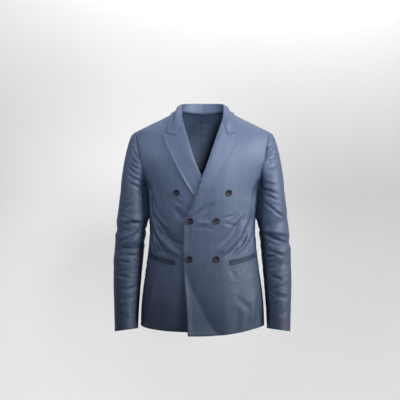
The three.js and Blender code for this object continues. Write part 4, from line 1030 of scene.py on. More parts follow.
def neck_place(side, way):
    """Neck edge of the body from centre back (0) past the neck point (0.5) to the gorge (1)."""
    x = NECK_X * np.sin(np.pi * np.clip(way, 0, 0.5))
    t = 1 - NAPE_SCOOP * (1 - (x / NECK_X) ** 2)
    behind = shoulder_point(lerp(x * (NOTCH_BACK_X / SHOULDER_X), x, t), t, True)
    t = lerp(1, GORGE_T, np.clip((way - 0.5) * 2, 0, 1))
    ahead = shoulder_point(rising_edge(side, t), t)
    return np.where((way <= 0.5)[:, None], behind, ahead)


def neck_edge(side, way):
    """Neck edge with its normal, the direction away from the neck and the direction along it."""
    point = neck_place(side, way)
    ahead = neck_place(side, np.minimum(way + 0.02, 1))
    behind = np.where((way < 0.02)[:, None], ahead * (-1, 1, 1), neck_place(side, np.abs(way - 0.02)))
    tangent = unit(ahead - behind)
    x = point[:, 0]
    down_back = unit(shoulder_point(x, 0.78, True) - shoulder_point(x, 0.8, True))
    down_side = unit(np.array([SHOULDER_X - NECK_X, 0.0, -SHOULDER_DROP]))
    t = lerp(1, GORGE_T, np.clip((way - 0.5) * 2, 0, 1))
    down_front = unit(shoulder_point(x + 1, t) - shoulder_point(x, t))
    turned = lerp(down_back, down_side, smooth(way, 0, 0.5)[:, None])
    in_surface = np.where((way <= 0.5)[:, None], turned, down_front)
    normal = unit(np.cross(tangent, in_surface))
    return point, normal, unit(np.cross(normal, tangent)), tangent


def collar_side(side, way):
    """Half of the collar, as profiles at stations round the neck.

    Each profile goes up the stand in a shallow curve, round the roll in a quarter circle, and down the
    fall, which bows out and then rests on the form. The last profiles turn into the gorge seam.
    """
    point, normal, away, tangent = neck_edge(side, way)
    crest = np.stack([along(COLLAR, way, name) for name in ("crestX", "crestY", "crestZ")], -1)
    edge = np.stack([along(COLLAR, way, name) for name in ("fallX", "fallY", "fallZ")], -1)
    if side == "right":
        edge[:, 0] += COLLAR_RIGHT_REACH * smooth(way, 0.5, 1)
    end_roll, _ = gorge_roll(side, 0)
    crest = crest + (end_roll[-1] - crest[-1]) * smooth(way, 0.75, 1)[:, None]
    upright = np.array([0.0, 0.0, 1.0])
    turned = smooth(way, 0.55, 1)[:, None]
    up = unit(lerp(upright, normal, turned))
    outward = unit(lerp(unit(np.cross(upright, tangent)), away, turned))
    centre = crest - up * ROLL_RADIUS
    foot = point - away * SEAM - normal * CLOTH
    stand_top = centre - outward * ROLL_RADIUS
    middle = lerp(foot, stand_top, 0.5) - (outward + up) * STAND_HOLLOW * ROLL_RADIUS
    s = np.linspace(0, 1, 7)[:, None]
    stand = lerp(lerp(foot[:, None], middle[:, None], s), lerp(middle[:, None], stand_top[:, None], s), s)
    turn = np.radians(np.linspace(0, 90, 7))[1:, None]
    arc = centre[:, None] - ROLL_RADIUS * (outward[:, None] * np.cos(turn) - up[:, None] * np.sin(turn))
    rolled = np.concatenate([stand, arc], 1)
    near_end = smooth(way, 0.9, 1)[:, None, None]
    rolled = lerp(rolled, end_roll[None], near_end)

    corner = COLLAR_CORNER[side]
    bend, at, roll_x, roll_z = gorge(side, corner)
    share = np.concatenate([bend * np.array([0.04, 0.09]), steps(0.09 * bend, bend, 12), steps(bend, 1, 8)])
    end_x, end_z = at(share)
    distance = np.hypot(end_x - roll_x, end_z - roll_z)
    final, _ = front_view(side, end_x, end_z, laid_height(distance, ROLL_RADIUS, LAPEL_PUFF))
    end_corner, _ = front_view(side, corner[0], corner[1], CLOTH + LAID)
    last_line = lerp(end_roll[-1], end_corner, share[:, None])
    swell = (COLLAR_BULGE * 4 * share * (1 - share))[None, :, None]
    fall = lerp(crest[:, None], edge[:, None], share[None, :, None])
    fall = fall + swell * (0.6 * outward[:, None] + 0.8 * up[:, None])
    fall = fall + (final - last_line)[None] * (way ** 12)[:, None, None]
    settle = smooth(share, 0.35, 1)[None, :]
    rest = (CLOTH + LAID + COLLAR_EASE * 4 * way * (1 - way))[:, None]
    for _ in range(4):
        over, out = over_form(fall)
        target = np.maximum(lerp(over, rest, settle), rest)
        fall = fall + out * (target - over)[..., None]
    fall = lerp(fall, final[None], near_end)
    return np.concatenate([rolled, fall], 1), -normal, bend, share


def collar_grid():
    """Collar from its right end round the neck to its left end, in rows from its foot to its edge."""
    way = np.concatenate([
        np.linspace(0, 0.5, STRIPS["backNeck"] + 1), steps(0.5, 1, STRIPS["neckRise"]),
    ])
    left, left_foot, bend, share = collar_side("left", way)
    right, right_foot, _, _ = collar_side("right", way[1:])
    mirror = np.array([-1.0, 1.0, 1.0])
    point = np.concatenate([right[::-1] * mirror, left]).transpose(1, 0, 2)
    normal = normals_of(point)
    normal[0] = np.concatenate([right_foot[::-1] * mirror, left_foot])
    grid = make_grid(point, normal, flat_of(point), flat_of(point))
    grid["free"] = edges_of(point.shape[:2], rows=[-1])
    grid["free"][len(ROLL_TURN) + np.searchsorted(share, bend):, [0, -1]] = True
    return grid


# Sleeves

def armhole_loop():
    """Armhole points down the front from the shoulder seam and up the back, and where the seams start."""
    front_t = UPPER_T[::-1]
    front = np.concatenate([
        shoulder_point(front_armhole_x(front_t), front_t), body_point(*lower_armhole(False)),
    ])
    back_x = NOTCH_BACK_X + (SHOULDER_X - NOTCH_BACK_X) * BACK_T
    back = np.concatenate([body_point(*lower_armhole(True))[::-1], shoulder_point(back_x, BACK_T, True)])
    shoulder, pit = lerp(front[0], back[-1], 0.5), lerp(front[-1], back[0], 0.5)
    ring = np.concatenate([[shoulder], front[1:-1], [pit], back[1:-1]])
    front_seam = len(UPPER_T) - 1 + round(SLEEVE_SEAM_SHARE * STRIPS["armhole"])
    return ring, len(front) - 1, front_seam, len(front) - 1 + STRIPS["armhole"]


def clear_of_body(point):
    """Keeps a sleeve's points clear of the side of the body."""
    half, power = along(BODY, point[..., 2], "half"), along(BODY, point[..., 2], "power")
    depth = np.where(
        point[..., 1] < 0, along(BODY, point[..., 2], "front"), along(BODY, point[..., 2], "back"),
    )
    side = half * (1 - np.minimum(np.abs(point[..., 1]) / depth, 1) ** power) ** (1 / power)
    clear = lerp(SLEEVE_CLEAR, SEAM, smooth(point[..., 2], -255, PIT_Z))
    towards = smooth(-np.abs(point[..., 1] - TOUCH["y"]), -TOUCH["reach"], 0)
    towards = towards * smooth(point[..., 2], TOUCH["lowZ"], TOUCH["highZ"]) * (point[..., 0] < TOUCH["x"])
    clear = lerp(clear, SEAM, towards)
    x = point[..., 0] - TOUCH["depth"] * towards
    kept = np.where(point[..., 2] > PIT_Z, point[..., 0], np.maximum(x, side + clear))
    return vector(kept, point[..., 1], point[..., 2])


def sleeve_parts(side):
    """Top sleeve and under sleeve.

    The cap runs on cubics from the armhole to the top ring of the arm. Below, each row is an oval whose
    centre and half sizes follow the bent arm, with the elbow's folds added to its radius.
    """
    ring, pit, front_seam, back_seam = armhole_loop()
    ring = ring + (SEAM, 0, 0)
    gaps = np.linalg.norm(np.roll(ring, -1, 0) - ring, axis=1)
    run = np.concatenate([[0], np.cumsum(gaps)[:-1]])
    whole = gaps.sum()
    turns = np.where(
        np.arange(len(ring)) <= pit, 180 * run / run[pit], 180 + 180 * (run - run[pit]) / (whole - run[pit]),
    )
    centre = ring.mean(0)
    angle = np.radians(turns)

    def tube(z):
        mid_x, mid_y, half_x, half_y = (
            along(SLEEVE, z, name) for name in ("midX", "midY", "halfX", "halfY")
        )
        fold = elbow_height(side, turns, z)
        x = mid_x + (half_x + fold) * np.cos(angle)
        y = mid_y - (half_y + fold) * np.sin(angle)
        return clear_of_body(vector(x, y, z))

    radial = unit((ring - centre) * (0, 1, 1))
    end = tube(np.full(len(ring), float(SLEEVE_TOP_Z)))
    span = np.linalg.norm(end - ring, axis=1)[:, None]
    drop = CAP["drop"] + CAP["crownDrop"] * np.maximum(radial[:, 2], 0)
    leave = unit(vector(1, CAP["spread"] * radial[:, 1], -drop))
    way = np.linspace(0, 1, STRIPS["cap"] + 1)[:, None, None]
    cap = blend_ends(ring, end, way)
    cap = cap + leave * CAP["start"] * span * (way - 2 * way ** 2 + way ** 3)
    cap = cap - (0, 0, 1) * (CAP["foot"] * span) * (way ** 3 - way ** 2)
    cap[1:] = clear_of_body(cap[1:])
    cuff = CUFF_Z - CUFF_DROP * np.cos(angle) + CUFF_TILT * SLEEVE["halfY"][0] * np.sin(angle)
    lower = tube(lerp(SLEEVE_TOP_Z, cuff, steps(0, 1, STRIPS["sleeve"])[:, None]))
    point = np.concatenate([cap, lower])
    normal = normals_of(point, closed=True)
    normal[0] = radial
    degrees = np.broadcast_to(turns, point.shape[:2])
    place, flat = pair(degrees, point[..., 2]), pair(np.radians(degrees) * ARM_RADIUS, point[..., 2])
    free = edges_of(point.shape[:2], rows=[-1])

    def part(first, last):
        pick = np.arange(first, last + 1) % len(ring)
        cut = {key: value[:, pick].copy() for key, value in
               {"point": point, "normal": normal, "place": place, "flat": flat, "free": free}.items()}
        turned = np.radians(np.unwrap(cut["place"][..., 0], period=360)) * ARM_RADIUS
        cut["flat"][..., 0] = turned
        for edge, step in ((0, 1), (-1, -2)):
            inward = unit(cut["point"][:, step] - cut["point"][:, edge])
            cut["point"][:, edge] += inward * SEAM / 2
        return cut

    return part(back_seam, front_seam + len(ring)), part(front_seam, back_seam)


# Walls

def merge_grids(grids):
    """One set of points and squares from grids that share an edge, with each point's values."""
    names = ("point", "normal", "place", "flat", "free")
    stacked = {
        name: np.concatenate([grid[name].reshape(-1, *grid[name].shape[2:]) for grid in grids])
        for name in names
    }
    squares, start = [], 0
    for grid in grids:
        rows, cols = grid["point"].shape[:2]
        ids = start + np.arange(rows * cols).reshape(rows, cols)
        squares.append(np.stack([ids[:-1, :-1], ids[:-1, 1:], ids[1:, 1:], ids[1:, :-1]], -1).reshape(-1, 4))
        start += rows * cols
    keys = np.round(stacked["point"], 2)
    _, first, inverse = np.unique(keys, axis=0, return_index=True, return_inverse=True)
    merged = {name: values[first] for name, values in stacked.items()}
    return merged, inverse.reshape(-1)[np.concatenate(squares)]


def border_of(squares, count):
    """Directed border edges of a sheet of squares: those whose other direction is nowhere."""
    start = squares.reshape(-1)
    end = np.roll(squares, -1, 1).reshape(-1)
    kept = start != end
    start, end = start[kept], end[kept]
    lone = ~np.isin(start * count + end, end * count + start)
    return start[lone], end[lone]


def nearest(points, targets):
    """Distance from each point to the nearest of the targets, and which one that is."""
    if not len(targets):
        return np.full(len(points), 1e9), np.zeros(len(points), int)
    distances, indices = [], []
    for block in np.array_split(points, max(1, len(points) // 1000)):
        square = ((block[:, None] - targets[None]) ** 2).sum(-1)
        nearest_one = square.argmin(1)
        indices.append(nearest_one)
        distances.append(np.sqrt(square[np.arange(len(block)), nearest_one]))
    return np.concatenate(distances), np.concatenate(indices)


SEAM_DIP = 1.4
SEAM_REACH = 3.2
PUCKER = {"height": 0.5, "reach": 11, "wave": 13}
EDGE_PRESS = 0.3
RIM = {True: 0.85, False: 0.9}


def wall(grids, thickness, side, detail, dip, pucker, flat_seam):
    """Thin closed wall under a sheet's outer points, mirrored for the right side.

    The points first move out by the detail's height, and sink as a bell beside the seams, where they also
    pucker in waves along them. Near a free edge, where the cloth is turned under, they rise a little. The
    inner face lies one thickness behind, and the rim between the two is half round.
    """
    sheet, squares = merge_grids(grids)
    point, normal = sheet["point"], sheet["normal"]
    count = len(point)
    start, end = border_of(squares, count)
    if detail is not None:
        point = point + normal * detail(side, sheet["place"][:, 0], sheet["place"][:, 1])[:, None]
    free = sheet["free"][start] & sheet["free"][end]
    to_seam, seam_place = nearest(point, point[start[~free]])
    to_free, _ = nearest(point, point[start[free]])
    low = lerp(flat_seam, 1.0, smooth(point[:, 2], -300, -240))
    height = -dip * low * np.exp(-((to_seam / SEAM_REACH) ** 2))
    if (~free).any() and pucker:
        run = sheet["flat"][start[~free]][seam_place].sum(-1)
        wavy = ripple(run, 0 * run, 21, PUCKER["wave"], lean=0)
        height += pucker * low * PUCKER["height"] * wavy * np.exp(-((to_seam / PUCKER["reach"]) ** 2))
    height += EDGE_PRESS * (1 - smooth(to_free, 5, 9)) * smooth(to_seam, 2, 8)
    point = point + normal * height[:, None]
    out = np.zeros((count, 3))
    edge_out = unit(np.cross(point[end] - point[start], normal[start]))
    np.add.at(out, start, edge_out)
    np.add.at(out, end, edge_out)
    out = unit(out)
    bulge = np.full(count, RIM[False])
    bulge[np.concatenate([start[free], end[free]])] = RIM[True]
    rings = []
    for turn in np.radians([45, 90, 135]):
        back = normal * (thickness / 2) * (1 - math.cos(turn))
        rings.append(point - back + out * (bulge * math.sin(turn))[:, None])
    layers = [point, *rings, point - normal * thickness]
    rim_ids = np.unique(np.concatenate([start, end]))
    index = np.full((5, count), -1)
    index[0] = np.arange(count)
    index[4] = count + np.arange(count)
    for ring in (1, 2, 3):
        index[ring, rim_ids] = 2 * count + (ring - 1) * len(rim_ids) + np.arange(len(rim_ids))
    vertices = np.concatenate([layers[0], layers[4], *(layer[rim_ids] for layer in layers[1:4])])
    flat = np.concatenate([sheet["flat"], sheet["place"][:, 1:]], 1)
    flats = np.concatenate([flat, flat, *([flat[rim_ids]] * 3)])
    faces = [squares, index[4][squares[:, ::-1]]]
    for ring in range(4):
        faces.append(np.stack([index[ring][end], index[ring][start], index[ring + 1][start],
                               index[ring + 1][end]], -1))
    faces = np.concatenate(faces)
    if side == "right":
        vertices = vertices * (-1, 1, 1)
        faces = faces[:, ::-1]
    return vertices, faces, flats[:, :2], flats[:, 2]


def new_piece(name, vertices, faces, flats=None, material=None, crush=None):
    """Mesh object at the origin from points in millimetres, squares, and flat places for its UV map."""
    mesh = bpy.data.meshes.new(name)
    faces = faces.tolist() if isinstance(faces, np.ndarray) else faces
    mesh.from_pydata((np.asarray(vertices) * MM).tolist(), [], faces)
    mesh.validate(clean_customdata=False)
    if flats is not None:
        layer = mesh.uv_layers.new(name="cloth")
        loops = np.empty(len(mesh.loops), int)
        mesh.loops.foreach_get("vertex_index", loops)
        layer.uv.foreach_set("vector", (flats[loops] * MM).astype(np.float32).ravel())
    if crush is not None:
        mesh.attributes.new("crush", "FLOAT", "POINT").data.foreach_set("value", crush.astype(np.float32))
    mesh.polygons.foreach_set("use_smooth", np.full(len(mesh.polygons), True))
    mesh.update()
    obj = bpy.data.objects.new(name, mesh)
    bpy.context.scene.collection.objects.link(obj)
    if material is not None:
        mesh.materials.append(material)
    return obj


# Materials

def colour(hex_text):
    """Linear colour of an sRGB hex value."""
    channels = [int(hex_text[i:i + 2], 16) / 255 for i in (0, 2, 4)]
    linear = [c / 12.92 if c <= 0.04045 else ((c + 0.055) / 1.055) ** 2.4 for c in channels]
    return (*linear, 1.0)


def add_node(tree, kind, settings=None, values=None, links=None):
    """Adds a node, sets its options and unlinked inputs, and links inputs from other nodes' outputs."""
    node = tree.nodes.new(kind)
    for name, value in (settings or {}).items():
        setattr(node, name, value)
    for name, value in (values or {}).items():
        node.inputs[name].default_value = value
    for name, source in (links or {}).items():
        tree.links.new(source, node.inputs[name])
    return node


def new_material(name, **shader):
    """Empty material with a principled shader, whose unlinked inputs are given by name."""
    material = bpy.data.materials.new(name)
    material.use_nodes = True
    tree = material.node_tree
    tree.nodes.clear()
    surface = add_node(tree, "ShaderNodeBsdfPrincipled", values=shader)
    add_node(tree, "ShaderNodeOutputMaterial", links={"Surface": surface.outputs[0]})
    return material, tree, surface


def blend_colours(tree, surface, factor, low, high):
    """Base colour of a surface, between two hex values by a node's output."""
    ramp = add_node(tree, "ShaderNodeValToRGB", links={"Fac": factor})
    ramp.color_ramp.elements[0].color = colour(low)
    ramp.color_ramp.elements[1].color = colour(high)
    tree.links.new(ramp.outputs["Color"], surface.inputs["Base Color"])


def add_bump(tree, height, strength, depth, under=None):
    """Small relief by a node's output, as deep as given in metres, over the relief under it."""
    links = {"Height": height}
    if under is not None:
        links["Normal"] = under.outputs[0]
    return add_node(
        tree, "ShaderNodeBump", values={"Strength": strength, "Distance": depth}, links=links,
    )


def sateen(name, low, high, gloss=0.8, thread=0.9):
    """Mercerised cotton sateen, woven with long weft floats: a soft broad gloss over a fine slanting rib.

    The real threads are 0.25 mm apart. The rib is drawn as coarse as the given spacing, to show at all.
    The colour is a little uneven in upright streaks, and worn cloth is rumpled by its crushed share.
    """
    material, tree, surface = new_material(name, **{
        "Roughness": 0.64, "Specular IOR Level": gloss, "Specular Tint": colour("D4DCE7"),
    })
    uv = add_node(tree, "ShaderNodeUVMap", settings={"uv_map": "cloth"})
    upright = add_node(tree, "ShaderNodeMapping", values={"Scale": (1.0, 0.1, 1.0)},
                       links={"Vector": uv.outputs[0]})
    cloudy = add_node(tree, "ShaderNodeTexNoise", values={"Scale": 150.0, "Detail": 3.0, "Roughness": 0.6},
                      links={"Vector": upright.outputs[0]})
    stretched = add_node(tree, "ShaderNodeMapping", values={"Scale": (0.12, 1.0, 1.0)},
                         links={"Vector": uv.outputs[0]})
    slub = add_node(tree, "ShaderNodeTexNoise", values={"Scale": 900.0, "Detail": 2.0},
                    links={"Vector": stretched.outputs[0]})
    mixed = add_node(tree, "ShaderNodeMath", settings={"operation": "MULTIPLY_ADD"},
                     values={1: 0.35}, links={0: slub.outputs["Fac"], 2: cloudy.outputs["Fac"]})
    spread = add_node(tree, "ShaderNodeMapRange", values={"From Min": 0.42, "From Max": 0.92},
                      links={"Value": mixed.outputs[0]})
    blend_colours(tree, surface, spread.outputs[0], low, high)
    slant = add_node(tree, "ShaderNodeMapping", values={"Rotation": (0, 0, math.radians(63))},
                     links={"Vector": uv.outputs[0]})
    rib = add_node(tree, "ShaderNodeTexWave", settings={"wave_profile": "SIN"},
                   values={"Scale": 1000 / thread / 20, "Distortion": 0.6, "Detail": 1.0},
                   links={"Vector": slant.outputs[0]})
    height = add_node(tree, "ShaderNodeMath", settings={"operation": "MULTIPLY_ADD"},
                      values={1: 0.5}, links={0: rib.outputs["Fac"], 2: slub.outputs["Fac"]})
    weave = add_bump(tree, height.outputs[0], 0.22, 0.00025)
    crush = add_node(tree, "ShaderNodeAttribute", settings={"attribute_name": "crush"})
    across = add_node(tree, "ShaderNodeMapping",
                      values={"Scale": (0.5, 1.0, 1.0), "Rotation": (0, 0, math.radians(12))},
                      links={"Vector": uv.outputs[0]})
    rumple = add_node(tree, "ShaderNodeTexNoise", settings={"noise_type": "RIDGED_MULTIFRACTAL"},
                      values={"Scale": 58.0, "Detail": 3.0, "Roughness": 0.5, "Distortion": 0.6},
                      links={"Vector": across.outputs[0]})
    rumpled = add_node(tree, "ShaderNodeMath", settings={"operation": "MULTIPLY"},
                       links={0: rumple.outputs["Fac"], 1: crush.outputs["Fac"]})
    bump = add_bump(tree, rumpled.outputs[0], 1.0, 0.001, weave)
    tree.links.new(bump.outputs[0], surface.inputs["Normal"])
    return material


def moulded_button():
    """Polyester button, cast and tumbled: almost black, with faint cloudy streaks and a soft gloss."""
    material, tree, surface = new_material("cast_polyester_button", **{
        "Roughness": 0.4, "Specular IOR Level": 0.25,
    })
    place = add_node(tree, "ShaderNodeTexCoord")
    streaks = add_node(tree, "ShaderNodeTexNoise",
                       values={"Scale": 160.0, "Detail": 4.0, "Distortion": 1.2},
                       links={"Vector": place.outputs["Object"]})
    blend_colours(tree, surface, streaks.outputs["Fac"], "07080A", "15171B")
    scratches = add_node(tree, "ShaderNodeTexNoise", values={"Scale": 1400.0, "Detail": 2.0},
                         links={"Vector": place.outputs["Object"]})
    bump = add_bump(tree, scratches.outputs["Fac"], 0.08, 0.0002)
    tree.links.new(bump.outputs[0], surface.inputs["Normal"])
    return material


def twisted_thread(name, low, high):
    """Spun polyester thread, twisted: fine slanting plies and a dull gloss."""
    material, tree, surface = new_material(name, Roughness=0.8)
    place = add_node(tree, "ShaderNodeTexCoord")
    plies = add_node(tree, "ShaderNodeTexWave", settings={"bands_direction": "DIAGONAL"},
                     values={"Scale": 700.0, "Distortion": 1.0}, links={"Vector": place.outputs["Object"]})
    blend_colours(tree, surface, plies.outputs["Fac"], low, high)
    bump = add_bump(tree, plies.outputs["Fac"], 0.3, 0.0002)
    tree.links.new(bump.outputs[0], surface.inputs["Normal"])
    return material


SATEEN = sateen("slate_cotton_sateen", "212D44", "2B3850")
# Pocket jets: the same sateen as the fronts, with a darker base colour painted as the shade of the pocket
# band, and less gloss where their grain runs across
JET_PAINTED_SHADE_SATEEN = sateen("slate_cotton_sateen_jets_painted_shade", "101828", "182236", 0.4)
POLYESTER = moulded_button()
BUTTON_THREAD = twisted_thread("navy_button_thread", "06080B", "10141B")
HOLE_THREAD = twisted_thread("slate_buttonhole_thread", "2C3850", "46536C")
# The buttonhole slit is a near black tube made in a thread material, painted as the shade in the cut
SLIT_SHADE = twisted_thread("buttonhole_slit_painted_shade", "0B0E14", "161B26")


def dress(piece, nodes):
    """Puts a piece on the body's root, in place of its nodes, which are hidden."""
    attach(piece, "root")
    if nodes:
        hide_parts(*nodes)


def crushed_share(cut, z):
    """How much the cloth of a piece is crushed at a height: most at the elbows, least at the chest."""
    if cut in ("topsleeve", "undersleeve"):
        return 0.35 + 0.65 * between(z, CRUSHED_SLEEVE, 0.6)
    if cut in ("front", "back"):
        return 0.12 + 0.38 * between(z, CRUSHED_BODY, 0.3)
    return np.full(len(z), 0.12)


def cloth_piece(node, grids, cut, side=None, detail=None, thickness=CLOTH, material=SATEEN,
                dip=SEAM_DIP, pucker=1.0, flat_seam=1.0):
    """Piece of cloth in place of its node, as a closed wall with its finish and the crushed share of its
    cut.
    """
    vertices, faces, flats, z = wall(grids, thickness, side, detail, dip, pucker, flat_seam)
    piece = new_piece("cloth_" + node, vertices, faces, flats, material, crushed_share(cut, z))
    dress(piece, [node])


def jet_grid(side, upper):
    """A pocket jet: a strip on the front whose face dips to the slit and is rounded at its other edge."""
    start = front_angle(POCKET["startX"], POCKET["startZ"])
    width = np.linspace(0, 1, 9)[:, None]
    girth = np.linspace(0, POCKET["length"], 73)[None]
    half = POCKET["slit"] / 2
    edge = half + width * POCKET["jet"] if upper else -half - (1 - width) * POCKET["jet"]
    angle = start + girth / GIRTH_RADIUS
    z = POCKET["startZ"] + POCKET["rise"] * girth + edge
    angle = angle + 0 * z
    base, normal = body_point(angle, z), body_normal(angle, z)
    rise = front_rise(side, angle, base[..., 0], z)
    from_slit = width if upper else 1 - width
    shape = 0.9 * from_slit - 0.9 * from_slit ** 6
    height = SEAM + POCKET["cloth"] - 0.3 + shape + 0 * girth
    point = base + normal * (rise + height)[..., None]
    place, free = pair(np.degrees(angle), z), edges_of(z.shape, [0, -1], [0, -1])
    return make_grid(point, normal, place, flat_of(point), free)


LAID_DIP = 0.5
SLEEVE_PUCKER = 1.8
SLEEVE_FLAT_SEAM = 0.25
for side in ("left", "right"):
    cloth_piece(f"front_{side}", front_grids(side), "front", side, front_detail)
    cloth_piece(f"back_{side}", back_grids(side), "back", side, back_detail)
    cloth_piece(f"lapel_{side}", [lapel_grid(side)], "lapel", side, dip=LAID_DIP)
    for cut, grid in zip(("topsleeve", "undersleeve"), sleeve_parts(side)):
        cloth_piece(
            f"{cut}_{side}", [grid], cut, side, sleeve_detail,
            pucker=SLEEVE_PUCKER, flat_seam=SLEEVE_FLAT_SEAM,
        )
    for level in ("upper", "lower"):
        cloth_piece(
            f"pocket_jet_{level}_{side}", [jet_grid(side, level == "upper")], "jet", side,
            None, POCKET["cloth"], JET_PAINTED_SHADE_SATEEN, dip=0, pucker=0,
        )
cloth_piece("collar", [collar_grid()], "collar", dip=LAID_DIP)


# Buttons, thread and buttonholes

def close_rings(rings, ends):
    """Points and faces of a stack of closed rings, with a fan to an end point at its first and last ring."""
    count, segments = rings.shape[:2]
    points = np.concatenate([rings.reshape(-1, 3), ends])
    ids = np.arange(count * segments).reshape(count, segments)
    after = np.roll(ids, -1, 1)
    sides = np.stack([ids[:-1], after[:-1], after[1:], ids[1:]], -1).reshape(-1, 4)
    first, last = len(points) - 2, len(points) - 1
    caps = [[after[0, i], ids[0, i], first] for i in range(segments)]
    caps += [[ids[-1, i], after[-1, i], last] for i in range(segments)]
    return points, sides.tolist() + caps


def lathe(profile, segments):
    """Solid turned about +Z from a profile of radius and height that starts and ends on the axis."""
    profile = np.asarray(profile, float)
    turn = np.linspace(0, 2 * np.pi, segments, endpoint=False)
    inner = profile[1:-1]
    rings = vector(inner[:, :1] * np.cos(turn), inner[:, :1] * np.sin(turn), inner[:, 1:2] + 0 * turn)
    return close_rings(rings, [[0, 0, profile[0, 1]], [0, 0, profile[-1, 1]]])


# The drilled holes and the thread through them stand further apart than the pitch by this share
HOLE_SPREAD = 1.15
STRAND = {"aside": 0.28, "radius": 0.27, "depth": 1.2, "rise": 1.75, "over": 0.12}
BUTTONHOLES = (("buttonhole_middle", -39.5, -338.6), ("buttonhole_bottom", -42, -459.5))
HOLE = {"length": 23, "halfHeight": 1.15, "bead": 0.75, "stitch": 0.14, "stitches": 45, "bar": 0.35,
        "slit": 0.5, "slitDepth": 0.15}
TACK = {"radius": 0.55, "stitch": 0.1, "short": 0.5}


def button_shape():
    """Four-hole button: a turned disc with a rounded rim and a dished face, drilled four times."""
    r, h, rim, dish = BUTTON["radius"], BUTTON["height"], BUTTON["rim"], BUTTON["dish"]
    turn = np.radians(np.linspace(0, 90, 6))
    side = [(r - 1 + math.sin(a), 1 - math.cos(a)) for a in turn]
    crown_mid, crown_half = r - rim / 2 - 0.2, rim / 2 + 0.2
    crown = [(crown_mid + crown_half * math.cos(a), h - 0.8 + 0.8 * math.sin(a))
             for a in np.radians(np.linspace(0, 180, 9))]
    well = [(r - rim - 0.9, h - dish + 0.12), (r - rim - 1.5, h - dish), (4.5, h - dish - 0.1)]
    profile = [(0, 0), *side, *crown, *well, (0, h - dish - 0.15)]
    points, faces = lathe(profile, 64)
    disc = new_piece("button_disc", points, faces)
    drill_points, drill_faces = [], []
    hole, pitch = BUTTON["hole"], BUTTON["pitch"]
    for x, y in ((-1, -1), (1, -1), (1, 1), (-1, 1)):
        one, sides = lathe([(0, -3), (hole, -3), (hole, 8), (0, 8)], 20)
        start = sum(len(p) for p in drill_points)
        drill_points.append(one + (x * pitch / 2 * HOLE_SPREAD, y * pitch / 2 * HOLE_SPREAD, 0))
        drill_faces += [[start + i for i in face] for face in sides]
    drill = new_piece("button_drill", np.concatenate(drill_points), drill_faces)
    cut = disc.modifiers.new("holes", "BOOLEAN")
    cut.operation, cut.solver, cut.object = "DIFFERENCE", "EXACT", drill
    shaped = disc.evaluated_get(bpy.context.evaluated_depsgraph_get()).to_mesh()
    coords = np.empty(3 * len(shaped.vertices))
    shaped.vertices.foreach_get("co", coords)
    faces = [list(polygon.vertices) for polygon in shaped.polygons]
    bpy.data.objects.remove(disc)
    bpy.data.objects.remove(drill)
    return coords.reshape(-1, 3) / MM, faces


def tube_along(path, across, up, radius, segments=8):
    """Closed tube round an open path: at each point a ring in the plane of the two given directions."""
    turn = np.linspace(0, 2 * np.pi, segments, endpoint=False)[None, :, None]
    radius = np.broadcast_to(radius, len(path))[:, None, None]
    rings = path[:, None] + radius * (across[:, None] * np.cos(turn) + up[:, None] * np.sin(turn))
    return close_rings(rings, [path[0], path[-1]])


def join_shapes(shapes):
    """One set of points and faces from several."""
    points, faces, start = [], [], 0
    for one, sides in shapes:
        points.append(one)
        faces += [[start + i for i in face] for face in sides]
        start += len(one)
    return np.concatenate(points), faces


def fix_outward(piece):
    """Turns the faces of a closed piece outwards."""
    shape = bmesh.new()
    shape.from_mesh(piece.data)
    bmesh.ops.recalc_face_normals(shape, faces=shape.faces)
    shape.to_mesh(piece.data)
    shape.free()


def small_piece(name, points, faces, material, nodes=()):
    """Closed piece that isn't cloth, with its finish, in place of its nodes if it has any."""
    piece = new_piece(name, points, faces, None, material)
    fix_outward(piece)
    dress(piece, nodes)
    return piece


def mirror_of(side):
    """Factors that bring a point worked out on the left to its own side."""
    return (-1 if side == "right" else 1, 1, 1)


def place_round_button(points, point, normal, spin, side):
    """Turns points from the button's own axes to its seat on the front."""
    side_way = unit(np.cross((0.0, 0.0, 1.0), -normal))
    up_way = np.cross(normal, side_way)
    a = math.radians(spin)
    first = side_way * math.cos(a) + up_way * math.sin(a)
    second = -side_way * math.sin(a) + up_way * math.cos(a)
    placed = point + points[:, :1] * first + points[:, 1:2] * second + points[:, 2:3] * normal
    return placed * mirror_of(side)


def sewing():
    """Thread of one button: two crossing pairs of strands through its holes, and the shank under it."""
    pitch = BUTTON["pitch"] / 2 * HOLE_SPREAD
    face = BUTTON["height"] - BUTTON["dish"] - 0.15
    shapes = []
    for x, y in ((1, 1), (1, -1)):
        for offset in (-STRAND["aside"], STRAND["aside"]):
            s = np.linspace(-1, 1, 13)[:, None]
            aside = unit(np.array([-y, x, 0.0]))
            path = s * np.array([x, y, 0.0]) * pitch + aside * offset
            path[:, 2] = face - STRAND["depth"] + STRAND["rise"] * (1 - s[:, 0] ** 6)
            path[:, 2] += STRAND["over"] * (x * y > 0)
            ahead = unit(np.gradient(path, axis=0))
            across = np.broadcast_to(aside, path.shape)
            shapes.append(tube_along(path, across, np.cross(ahead, across), STRAND["radius"]))
    shapes.append(lathe([(0, -1.2), (1.7, -1.2), (1.55, -0.2), (1.6, 0.4), (0, 0.4)], 20))
    return join_shapes(shapes)


button_points, button_faces = button_shape()
thread_points, thread_faces = sewing()
for name, side, x, z, spin in BUTTONS:
    seat, normal = front_view(side, x, z, BUTTON["seat"])
    placed = place_round_button(button_points, seat, normal, spin, side)
    button = small_piece("sewn_" + name, placed, button_faces, POLYESTER, [name])
    bevel = button.modifiers.new("worn_edges", "BEVEL")
    bevel.width, bevel.segments, bevel.limit_method, bevel.angle_limit = 0.00012, 1, "ANGLE", 0.7
    placed = place_round_button(thread_points, seat, normal, spin, side)
    small_piece("thread_" + name, placed, thread_faces, BUTTON_THREAD)


